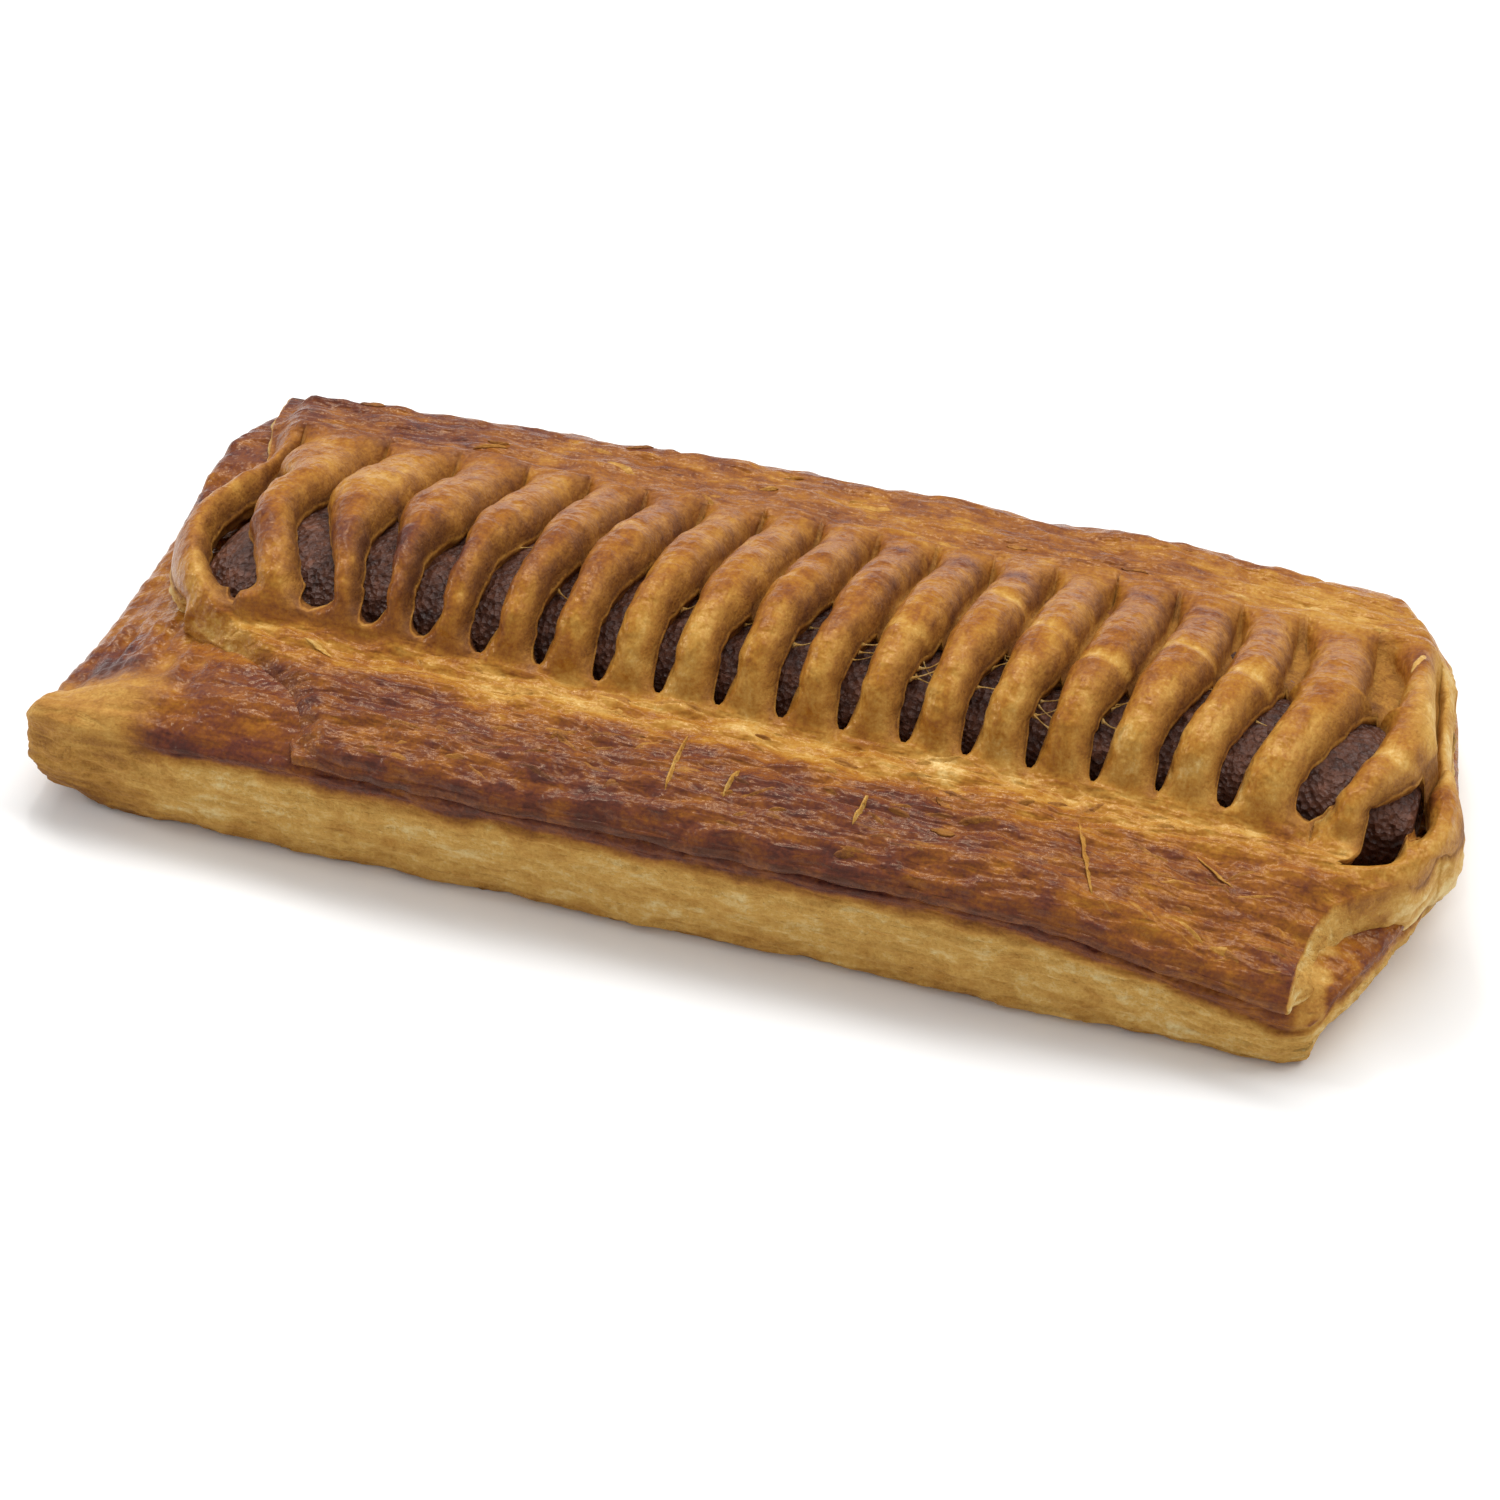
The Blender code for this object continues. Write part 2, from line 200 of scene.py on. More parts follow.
shader.inputs["Specular IOR Level"].default_value = 0.45

bm = grid_mesh(MEAT_RINGS, MEAT_SIDES)
ring, side, _ = codes_of(bm)
# The last few rings at each end close it with a rounded cap.
along = np.clip((ring - MEAT_CAP_RINGS) / (MEAT_RINGS - 2 * MEAT_CAP_RINGS), 0.0, 1.0)
along = 0.5 - 0.5 * np.cos(np.pi * along)
cap = 1.0 - np.minimum(1.0, np.minimum(ring, MEAT_RINGS - ring) / MEAT_CAP_RINGS)
shrink = np.sqrt(np.maximum(0.0, 1.0 - cap ** 2))
fullness = (1.0 - np.abs(2.0 * along - 1.0) ** 5) ** 0.5
angle = 2.0 * np.pi * side / MEAT_SIDES
across, up = np.cos(angle), np.sin(angle)
is_front = across < 0
end_height, back_end = (np.where(along < 0.5, *ends) for ends in (MEAT_END_HEIGHT, MEAT_BACK_END))
power = np.where(is_front, MEAT_FRONT_SQUARENESS, MEAT_BACK_SQUARENESS)
width = np.where(
    is_front, MEAT_FRONT_WIDTH * mix(MEAT_FRONT_END, 1.0, fullness),
    MEAT_BACK_WIDTH * mix(back_end, 1.0, fullness))
height = MEAT_HALF_HEIGHT * mix(end_height, 1.0, fullness)
reach = (np.abs(across) ** power + np.abs(up) ** power) ** (-1.0 / power)
drawn_in = 0.5 * (1.0 - np.sqrt(1.0 - (1.0 - shrink) ** 2))
x = mix(*MEAT_ENDS, along) + np.where(ring > MEAT_RINGS / 2, -drawn_in, drawn_in)
y = MEAT_CREST_Y + across * reach * width * shrink
z = MEAT_Z + up * reach * height * shrink
lumps = sum(
    height * uneven(x, y, z, (size, size, size), seed) for height, size, seed in MEAT_LUMPS)
put(bm, x, y + across * lumps, z + up * lumps)
bmesh.ops.remove_doubles(bm, verts=bm.verts, dist=0.01 * MM)
bmesh.ops.recalc_face_normals(bm, faces=bm.faces)
sausage = finished("minced_sausage", bm, meat_finish)
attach(sausage, "root")
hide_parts("sausage_meat")

# ---- The base sheet --------------------------------------------------------------------------
# A thick sheet of puff pastry that has risen in flaky layers. Its cut sides stay pale and rough,
# and its upper side is glazed where it reaches out past the lid at both ends.

FRONT_Y = -37.6
BACK_Y = 36.9
JOIN_Z = 14.2
RIGHT_JOIN_DROP = 5.2
LEFT_JOIN_DROP = 1.4
BACK_JOIN_DROP = 1.5
BACK_BOW = 0.9
BACK_BOW_FALL = 2.4
BACK_BOW_MIDDLE_X = 11.0
BASE_COLUMNS = 300
BASE_ROWS = 130
BASE_LAYERS = 34
UNDERSIDE_RINGS = 4
BASE_SIDE = ((0.0, 1.8), (0.08, 0.8), (0.25, 0.3), (0.62, 0.0), (0.9, 0.15), (1.0, 0.7))
LEFT_UNDERCUT = 4.5
RIGHT_UNDERCUT = 3.8
LEFT_LIFT = 1.8
LEFT_SLOPE = 3.4
RIGHT_SLOPE = 1.6
RIM_RADIUS = 2.4
FLAKE_STEP = 0.26
# How many of the side's flaky layers the thickness of the sheet holds.
SIDE_LAYERS = 14.0
CRUST_BAKE = 0.55
# Bands along the roll where the crust is browner: (where it starts, where it is full, how much).
BROWN_BANDS = ((10, 18, 0.06), (-21, -27, 0.21), (-34.0, -37.5, 0.08), (29, 36, 0.12))
BASE_LEFT_EDGE = (
    (-37.6, -80.0), (-36.6, -84.6), (-34.0, -85.6), (-28.0, -85.7), (-10.0, -85.0),
    (8.0, -84.8), (22.0, -84.0), (31.0, -82.6), (35.2, -80.4), (36.9, -77.0),
)
BASE_RIGHT_EDGE = (
    (-37.6, 71.0), (-36.6, 74.4), (-32.0, 77.2), (-27.0, 79.4), (-19.0, 82.0), (-8.0, 84.4),
    (2.0, 84.6), (12.0, 82.8), (24.0, 80.6), (32.0, 78.0), (35.8, 75.5), (36.9, 72.0),
)


def uneven_sheet(x, y, size, seed):
    """The same unevenness over a sheet, where only two directions count."""
    return uneven(x, y, 0.0 * x, (*size, 1.0), seed)


def spot(x, y, middle, size):
    """1 in the middle of a soft spot, falling off round it."""
    return np.exp(-((x - middle[0]) / size[0]) ** 2 - ((y - middle[1]) / size[1]) ** 2)


def through(points, at):
    """A smooth curve through (place, height) points, read at many places."""
    place, height = np.array(points, float).T
    slope = np.gradient(height, place)
    slope[1:-1] = (height[2:] - height[:-2]) / (place[2:] - place[:-2])
    index = np.clip(np.searchsorted(place, at, "right") - 1, 0, len(place) - 2)
    width = place[index + 1] - place[index]
    t = np.clip((at - place[index]) / width, 0.0, 1.0)
    bend = slope[index] * t * (1 - t) ** 2 - slope[index + 1] * t * t * (1 - t)
    return mix(height[index], height[index + 1], (3 - 2 * t) * t * t) + bend * width


def join_height(x, y):
    """Height of the sheet that the lid lies on."""
    right = RIGHT_JOIN_DROP * ease(34, 74, x)
    left = LEFT_JOIN_DROP * ease(-62, -82, x) * ease(30, 0, y)
    return JOIN_Z - right - left - BACK_JOIN_DROP * ease(22, 36, y)


def back_bow(x, y):
    """How far the back edge bows out past a straight line, or falls short of it at the ends."""
    from_middle = (x - BACK_BOW_MIDDLE_X) / (BACK_Y - FRONT_Y)
    return ease(20, 36, y) * (BACK_BOW - BACK_BOW_FALL * from_middle ** 2)


def extruded_rim(bm, rim, steps):
    """Extrudes these boundary edges one step at a time. The new vertices count the layers."""
    for _ in range(steps):
        made = bmesh.ops.extrude_edge_only(bm, edges=rim)["geom"]
        rim = [item for item in made if isinstance(item, bmesh.types.BMEdge) and item.is_boundary]
        for vert in {vert for edge in rim for vert in edge.verts}:
            vert.co.z += 1
    return rim


def rim_facing(column, row, layer, x, y):
    """Which way each outer rim vertex faces in plan, and how far round the rim it lies."""
    columns, rows = column.max(), row.max()
    top = layer == 0
    places = np.zeros((columns + 1, rows + 1, 2))
    places[column[top], row[top]] = np.stack((x[top], y[top]), 1)
    ring = [(c, 0) for c in range(columns)] + [(columns, r) for r in range(rows)]
    ring += [(c, rows) for c in range(columns, 0, -1)] + [(0, r) for r in range(rows, 0, -1)]
    ring_column, ring_row = np.array(ring).T
    rim = places[ring_column, ring_row]
    along = np.roll(rim, -4, 0) - np.roll(rim, 4, 0)
    along = sum(np.roll(along, shift, 0) for shift in range(-4, 5))
    facing = np.stack((along[:, 1], -along[:, 0]), 1)
    facing /= np.linalg.norm(facing, axis=1)[:, None]
    steps = np.linalg.norm(np.roll(rim, -1, 0) - rim, axis=1)
    found = np.zeros((columns + 1, rows + 1, 3))
    found[ring_column, ring_row] = np.column_stack((facing, np.cumsum(steps)))
    return found[column, row].T


def of_top(column, row, layer, values):
    """The value that the top vertex of each column and row has, for every layer below it."""
    found = np.zeros((column.max() + 1, row.max() + 1))
    top = layer == 0
    found[column[top], row[top]] = values[top]
    return found[column, row]


def crust_relief(x, y, seed):
    """Low relief of a baked crust in millimetres, wrinkled along the roll, and how near each point
    lies to the lifted edge of a flake, from 0 to 1."""
    wrinkles = 0.30 * uneven_sheet(x, y, (9.0, 2.0), seed)
    wrinkles += 0.16 * uneven_sheet(x, y, (3.6, 1.1), seed + 1)
    level = 1.7 * uneven_sheet(x, y, (20.0, 4.0), seed + 2)
    level += 0.45 * uneven_sheet(x, y, (5.0, 1.6), seed + 3)
    step = level - np.floor(level)
    edge = ease(0.0, 0.12, step) * (1.0 - ease(0.15, 0.42, step))
    return wrinkles + FLAKE_STEP * (ease(0.0, 0.22, step) - step), edge


def browning(x, y):
    """How brown the glazed crust is, from 0 to 1: most along the front seam and the back edge."""
    y = y + 2.6 * uneven_sheet(x, y, (8.0, 7.0), 47) + 1.2 * uneven_sheet(x, y, (3.0, 2.0), 48)
    bake = CRUST_BAKE
    for start, full, more in BROWN_BANDS:
        bake = bake + more * ease(start, full, y)
    bake -= 0.10 * ease(20, 55, x) * ease(-20, -26, y)
    bake += (0.16 * ease(-30, -58, x) - 0.20 * ease(30, 60, x)) * ease(14, 24, y)
    bake += 0.15 * uneven_sheet(x, y, (15.0, 5.0), 41)
    return bake + 0.12 * uneven_sheet(x, y, (5.0, 1.4), 42)


# Sizes of the crust's patterns in millimetres. Streaks: along, across and up.
STRIP_STREAK = (1.3, 4.0, 2.5)
BLOTCH_MM, SPECK_MM, PORE_MM = 4.0, 0.9, 0.4
SWELLING_MM, CRINKLE_MM, DIMPLE_MM = 4.0, 1.3, 0.6
# What a noise pattern seldom leaves.
NOISE_LOW, NOISE_HIGH = 0.28, 0.72
BARE_ROUGHNESS = 0.7
WASHED_ROUGHNESS = 0.27
SHINE = 0.31
DULL_SHINE = 0.10
EGG_WASH_TINT = "#F8D6A8"


# Puff pastry, baked to a brittle crust: layers of dough parted by fat. Pale and matt where it was
# cut and rose in layers, and orange to purple brown with a hard gloss where egg wash covers it.
def pastry(name, crust_stops, flake_stops, streak):
    material, tree, shader, in_mm = new_material(name)
    bake, glaze, arched, dull = (
        add(tree, "Attribute", attribute_name=label).outputs["Fac"]
        for label in ("bake", "glaze", "arched", "dull"))
    # Streaks run along the roll, but on the strips the other way, along the stretched dough.
    stretched, turned = (
        add(tree, "Mapping", {"Vector": in_mm, "Scale": [1 / size for size in sizes]})
        for sizes in (streak, STRIP_STREAK))
    streaks = add(
        tree, "TexNoise", {
            "Vector": stretched.outputs["Vector"], "Scale": 1.0, "Detail": 6.0, "Roughness": 0.65,
            "Distortion": 0.6})
    turned_streaks = add(
        tree, "TexNoise",
        {"Vector": turned.outputs["Vector"], "Scale": 1.0, "Detail": 6.0, "Roughness": 0.7})
    streaks = add(
        tree, "Mix",
        {"Factor": arched, 2: streaks.outputs["Fac"], 3: turned_streaks.outputs["Fac"]},
        data_type="FLOAT")
    blotches, specks, pores = (
        add(
            tree, "TexNoise",
            {"Vector": in_mm, "Scale": 1 / size, "Detail": detail, "Roughness": roughness})
        for size, detail, roughness in (
            (BLOTCH_MM, 4.0, 0.6), (SPECK_MM, 4.0, 0.7), (PORE_MM, 2.0, 0.6)))
    total = bake
    for texture, reach in ((streaks, 0.14), (blotches, 0.12), (specks, 0.08), (pores, 0.07)):
        part = add(
            tree, "MapRange", {
                "Value": texture.outputs[0], "From Min": NOISE_LOW, "From Max": NOISE_HIGH,
                "To Min": -reach, "To Max": reach})
        total = add(
            tree, "Math", {0: total, 1: part.outputs["Result"]}, operation="ADD").outputs[0]
    crust = add(tree, "ValToRGB", {"Fac": total}, stops=crust_stops)
    flake = add(tree, "ValToRGB", {"Fac": total}, stops=flake_stops)
    colour = add(
        tree, "Mix", {"Factor": glaze, 6: flake.outputs["Color"], 7: crust.outputs["Color"]},
        data_type="RGBA")
    tree.links.new(colour.outputs[2], shader.inputs["Base Color"])
    # The last of these patterns, the pores, also breaks up the gloss.
    gloss = add(
        tree, "MapRange", {"Value": glaze, "To Min": BARE_ROUGHNESS, "To Max": WASHED_ROUGHNESS})
    roughness = add(
        tree, "Math", {0: gloss.outputs[0], 1: part.outputs["Result"]}, operation="ADD")
    tree.links.new(roughness.outputs[0], shader.inputs["Roughness"])
    shine = add(tree, "MapRange", {"Value": dull, "To Min": SHINE, "To Max": DULL_SHINE})
    tree.links.new(shine.outputs[0], shader.inputs["Specular IOR Level"])
    shader.inputs["Specular Tint"].default_value = linear(EGG_WASH_TINT)
    # Bare pastry is rough all the way down, but egg wash fills the finest relief, and so it
    # shines.
    wrinkles, turned_wrinkles = (
        add(
            tree, "TexNoise", {
                "Vector": mapping.outputs["Vector"], "Scale": 1.0, "Detail": 1.5,
                "Distortion": 0.4})
        for mapping in (stretched, turned))
    wrinkles = add(
        tree, "Mix",
        {"Factor": arched, 2: wrinkles.outputs["Fac"], 3: turned_wrinkles.outputs["Fac"]},
        data_type="FLOAT")
    swellings, crinkles, dimples = (
        add(tree, "TexNoise", {"Vector": in_mm, "Scale": 1 / size, "Detail": 1.0})
        for size in (SWELLING_MM, CRINKLE_MM, DIMPLE_MM))
    below = {}
    for bare, washed, depth in (
            (streaks, wrinkles, 0.4), (blotches, swellings, 0.5), (specks, crinkles, 0.35),
            (pores, dimples, 0.1)):
        height = add(
            tree, "Mix", {"Factor": glaze, 2: bare.outputs[0], 3: washed.outputs[0]},
            data_type="FLOAT")
        bump = add(
            tree, "Bump",
            {"Height": height.outputs[0], "Strength": 1.0, "Distance": depth * MM, **below})
        below = {"Normal": bump.outputs["Normal"]}
    tree.links.new(bump.outputs["Normal"], shader.inputs["Normal"])
    return material


CRUST = (
    (0.0, "#DDBA76"), (1.0, "#4B2826"), (0.2, "#C08F42"), (0.4, "#A86F26"), (0.55, "#955922"),
    (0.7, "#7C4523"), (0.85, "#643328"),
)
FLAKE = (
    (0.0, "#E4CB90"), (1.0, "#6A4226"), (0.25, "#CFA256"), (0.5, "#B5833D"), (0.72, "#95652E"),
)
base_finish = pastry("puff pastry, cut side", CRUST, FLAKE, (6.0, 2.4, 1.1))

# More columns lie near both ends, where the upper side shows, than under the lid.
bm = grid_mesh(BASE_COLUMNS, BASE_ROWS)
rim = [edge for edge in bm.edges if edge.is_boundary]
rim = extruded_rim(bm, rim, BASE_LAYERS + UNDERSIDE_RINGS)
bmesh.ops.holes_fill(bm, edges=rim, sides=0)
column, row, layer = codes_of(bm)
column_share = np.interp(column / BASE_COLUMNS, (0.0, 0.28, 0.76, 1.0), (0.0, 0.2, 0.84, 1.0))
row_share = row / BASE_ROWS
row_share = mix(row_share, 0.5 - 0.5 * np.cos(np.pi * row_share), 0.6)
under = np.maximum(0, layer - BASE_LAYERS)
height = 1.0 - np.minimum(layer, BASE_LAYERS) / BASE_LAYERS
y = mix(FRONT_Y, BACK_Y, row_share)
left, right = through(BASE_LEFT_EDGE, y), through(BASE_RIGHT_EDGE, y)
x = mix(left, right, column_share)
y = y + back_bow(x, y)
from_left, from_right = x - left, right - x
from_rim = np.minimum.reduce([from_left, from_right, y - FRONT_Y, BACK_Y + back_bow(x, y) - y])
face_x, face_y, round_rim = rim_facing(column, row, layer, x, y)
top = layer == 0

# The upper side slopes off towards both ends, is rounded over at its rim, swells towards the
# lid's front corner and puffs up at the sheet's own front left corner.
lip = np.clip(1.0 - from_rim / RIM_RADIUS, 0.0, 1.0)
upper = join_height(x, y) - 0.8 * RIM_RADIUS * (1.0 - np.sqrt(1.0 - lip ** 2))
upper -= (
    LEFT_SLOPE * (1.0 - ease(-1.0, 11.0, from_left)) * (1.0 - 0.9 * ease(6, 22, y))
    * ease(-36, -27, y))
upper -= RIGHT_SLOPE * (1.0 - ease(-1.0, 9.0, from_right))
upper += 3.2 * ease(-84, -56, x) * ease(-37.4, -31.0, y) * ease(-4, -16, y)
upper += 1.6 * ease(-66, -74, x) * ease(-26, -33, y) * ease(-1.0, 3.0, from_left)
relief, flake_edge = crust_relief(x, y, 71)
# Wrinkles run from the left loop towards the front, where the sheet was pressed down.
folds = uneven_sheet(x, y, (1.5, 7.0), 65) * ease(-60, -68, x)
folds = folds * ease(-6, -14, y) * ease(-33, -26, y)
upper += 1.3 * relief + 0.8 * folds + 0.3 * uneven_sheet(x, y, (7, 7), 5)
upper = of_top(column, row, layer, upper)

# The side's flaky layers: each stands out a little more or less than the next one. At the front
# left corner they burst open, and are pitted.
pitted = ease(-66, -73, x) * ease(-22, -31, y)
in_layers = height * SIDE_LAYERS
laminae = 0.30 * uneven_sheet(round_rim, in_layers, (7.0, 0.9), 21)
laminae += 0.22 * uneven_sheet(round_rim, in_layers, (2.6, 0.8), 23)
waves = 0.55 * uneven_sheet(round_rim, height, (12.0, 0.8), 1)
waves += 0.42 * uneven_sheet(round_rim, height, (4.5, 0.35), 2)
level = 2.4 * uneven_sheet(round_rim, in_layers, (8.0, 4.0), 24)
level += 0.6 * uneven_sheet(round_rim, in_layers, (2.5, 1.6), 25)
level -= np.floor(level)
side_edge = ease(0.0, 0.15, level) * (1.0 - ease(0.2, 0.5, level))
laminae += 0.34 * (ease(0.0, 0.25, level) - level)
seam_free = 1.0 - ease(0.9, 1.0, height)
drawn = through(BASE_SIDE, height) * (1.0 - 0.7 * pitted * ease(0.7, 1.0, height))
drawn = drawn - (waves + laminae) * mix(0.5, 1.0, seam_free)
drawn += np.maximum(0.0, 1.0 - 2.0 * height) * LEFT_UNDERCUT * np.maximum(0.0, -face_x)
drawn += (1.0 - height) ** 1.2 * RIGHT_UNDERCUT * np.maximum(0.0, face_x) ** 2
x, y = x - drawn * face_x, y - drawn * face_y
x, y = x * (1.0 - 0.03 * under), y * (1.0 - 0.06 * under)
z = upper * height
z += LEFT_LIFT * ease(10, -34, y) * ease(-72, -84, x) * (1.0 - height) ** 2 * (under == 0)

# The cut side is palest in the middle, browner at the seam and where it stood on the tray.
side_bake = 0.32 + 0.31 * ease(0.86, 1.0, height) * (1.0 - pitted) + 0.24 * ease(0.35, 0.0, height)
side_bake += 0.14 * uneven_sheet(round_rim, in_layers, (9.0, 4.0), 31) - 0.07 * side_edge
side_bake += 0.10 * uneven_sheet(round_rim, in_layers, (2.2, 1.4), 32)
side_bake += 0.28 * pitted
top_bake = browning(x, y) - 0.07 * flake_edge + 0.12 * folds + 0.06 * ease(-68, -76, x)
top_bake += 0.42 * spot(x, y, (-80.0, -23.0), (4.0, 5.0))
# By the lid's right front edge the glaze broke off in patches.
patches = uneven_sheet(x, y, (2.5, 2.5), 46) + (x - 74.0) / 5.0
bare = ease(-24, -29, y) * ease(71, 73, x) * ease(0.25, -0.15, patches)
top_bake -= 0.3 * bare
top_bake = mix(top_bake, 0.45 + 0.12 * uneven(x, y, z, (2.0, 2.0, 2.0), 33), pitted)
bake = np.where(top, top_bake, side_bake)
glaze = np.where(
    top, 1.0 - 0.75 * pitted - 0.6 * bare, 0.7 * ease(0.82, 1.0, height) * (1.0 - pitted))
put(bm, x, y, np.maximum(z, 0.0))
bmesh.ops.recalc_face_normals(bm, faces=bm.faces)
base = finished("risen_base_sheet", bm, base_finish, bake=bake, glaze=glaze)
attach(base, "root")
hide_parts("pastry_base")

# ---- The lid ---------------------------------------------------------------------------------
# A thinner sheet of puff pastry, slit with a lattice cutter and stretched over the meat so that
# the slits open. Egg wash gives it its gloss, and the oven browns what stands proud.

SLITS = 19
PITCH = 7.62
FIRST_SLIT_X = -63.4
STRIP_WIDTH = 5.9
LAST_STRIP_WIDTH = 6.2
LEFT_LOOP_WIDTH = 5.3
RIGHT_LOOP_WIDTH = 3.8
RIGHT_LOOP_THINNEST = 2.0
# Half of each slit's width at its widest, and of the groove that goes on behind it.
SLIT_HALF_WIDTHS = (
    2.9, 2.4, 2.0, 2.1, 1.9, 1.4, 1.4, 1.3, 1.35, 1.4, 1.4, 1.35, 1.3, 1.3, 1.2, 0.95, 1.5,
    2.2, 2.0,
)
GROOVE_HALF_WIDTH = 0.5
# At the right end two grooves stay wide: the slit's number, and half of its groove's width.
WIDE_GROOVES = {17: 1.0, 18: 1.8}
GROOVE_END_Y = 22.5
LEAST_SLIT = 0.7
# How much further than its cut each slit tore open, most where the lid is stretched most.
SLIT_TEARS = (2, 5, 5, 6, 6, 6, 6, 6, 6, 4, 4, 3, 3, 3, 4, 3, 3, 3, 2)
SLIT_FOOT_Y = -18.4
SLIT_LENGTHS = (26, 22, 17, 15, 19, 11, 15, 10, 7, 17, 10, 12, 13, 9, 9, 16, 18, 18, 10)
LID_BUMPS = 0.45
DOME_FOOT_Z = 19.6
DOME_FOOT_FALL = 0.7
MIN_LID = 1.8
END_FALL = 3.2
RIGHT_BACK_FALL = 5.0
LEAN = 1.3
LEFT_LEAN = (-7.0, 1.7)
RIGHT_LEAN = (7.0, 2.2)
LEFT_DOME_LOSS = (0.66, 0.9)
RIGHT_DOME_LOSS = (0.86, 1.1)
LEFT_FOOT_SHIFT = (1.0, 4.0)
RIGHT_FOOT_SHIFT = (0.6, 4.0)
LAST_FOOT_SHIFT = -0.75
# Cuts that lie off the even pitch: (slit, distance to the right at its foot and at its end).
SLIT_SHIFTS = ((1, 2.1, -1.4), (2, 1.6, -1.2), (3, 1.0, -0.8), (17, 0.2, -0.6), (18, 2.4, 0.9))
LID_SECTION = (
    (-37.6, 15.6), (-36.6, 17.3), (-32.5, 18.9), (-27.0, 19.5), (-21.5, 19.8),
    (-18.6, 20.8), (-17.4, 24.2), (-15.2, 27.2), (-11.0, 29.0), (-5.0, 29.3),
    (2.0, 27.9), (9.0, 25.2), (16.0, 21.9), (23.0, 19.0), (29.5, 17.3),
    (34.2, 16.3), (36.2, 14.6),
)
FOOT_PLACE = 4.75
# The end slits open to their full width sooner, or later: (slit, distance from its foot).
FOOT_TAPERS = ((1, 2.0), (2, 2.5), (17, 3.0), (18, 3.0), (19, 7.0))
LID_LEFT_EDGE = (
    (-38, -49), (-32, -51.5), (-27, -55.5), (-23, -62), (-18, -71), (-12, -76), (-4, -78.8),
    (4, -78.6), (11, -76.5), (18, -75.5), (26, -78), (38, -79),
)
LID_RIGHT_EDGE = (
    (-38, 71.3), (-31, 71.6), (-26, 73.5), (-23, 77.5), (-20, 82), (-16, 84.6), (-9, 85.7),
    (-2, 83.8), (5, 82.4), (12, 81.4), (20, 80.2), (27, 78.2), (33, 75.4), (38, 72.5),
)
LID_ROWS = 212
STRIP_STEPS = 14
# Grid columns of a strip and of the slit beside it.
STRIP_COLUMNS = STRIP_STEPS + 2
STRIP_HEIGHT = 3.4
STRIP_SQUARENESS = 2.3
WALL_LAYERS = 7
# The lid's walls, at six places from their upper to their lower edge. The outer skirt: how far it
# is drawn in, and the share of the way down to the base. Each slit's wall: how far it stands back
# under the strip, and how far down it reaches.
WALL_PLACES = (0.0, 0.2, 0.4, 0.6, 0.8, 1.0)
SKIRT_IN = (0.0, -0.25, -0.3, -0.1, 0.35, 0.9)
SKIRT_DOWN = (0.0, 0.25, 0.5, 0.75, 0.95, 1.1)
WALL_IN = (0.0, -0.18, -0.12, 0.25, 0.45, 0.4)
WALL_DOWN = (0.0, 0.4, 0.8, 1.3, 1.9, 2.5)
# Creases across some strips, where they cracked as the meat swelled: (strip, place from the front).
CREASES = ((11, -6.5), (12, 6.5), (13, -0.5), (14, -5.0), (15, 2.0), (16, -1.0), (18, -8.0))


def fading(size_and_reach, distance):
    size, reach = size_and_reach
    return size * np.exp(-distance / reach)


def slit_x(slit, y):
    """Where a slit's middle line runs. The lattice fans out over both ends of the meat."""
    from_left, from_right = slit - 1, SLITS - slit
    lean = LEAN + fading(LEFT_LEAN, from_left) + fading(RIGHT_LEAN, from_right)
    leaning = ease(-19, 3, y) * (1.0 - 0.4 * ease(12, 32, y))
    x = FIRST_SLIT_X + from_left * PITCH + lean * leaning
    for number, at_foot, at_end in SLIT_SHIFTS:
        x = x + (number == slit) * mix(at_foot, at_end, ease(-18, 5, y))
    right_end = through(LID_RIGHT_EDGE, y)
    left_shift = through(LID_LEFT_EDGE, y) - (FIRST_SLIT_X - PITCH)
    right_shift = right_end - (FIRST_SLIT_X + SLITS * PITCH)
    # A margin that is shorter than the lattice draws in many slits, a longer one only a few.
    x = x + left_shift * np.exp(-slit * PITCH / np.where(left_shift < 0, 9, 42))
    x = x + right_shift * np.exp(-(from_right + 1) * PITCH / np.where(right_shift > 0, 5, 40))
    beside_it = RIGHT_LOOP_THINNEST + LEAST_SLIT / 2 + from_right * STRIP_WIDTH
    return np.minimum(x, right_end - beside_it)


def slit_end_y(slit):
    """Where a slit ends behind: its cut's length, and what tore further."""
    return SLIT_FOOT_Y + SLIT_LENGTHS[slit - 1] + SLIT_TEARS[slit - 1]


def slit_half_width(slit, y):
    """Half of a slit's width: widest half way, narrow where its strips meet."""
    end = slit_end_y(slit)
    share = ease(mix(SLIT_FOOT_Y, end, 0.5), end, y)
    return mix(SLIT_HALF_WIDTHS[slit - 1], WIDE_GROOVES.get(slit, GROOVE_HALF_WIDTH), share)


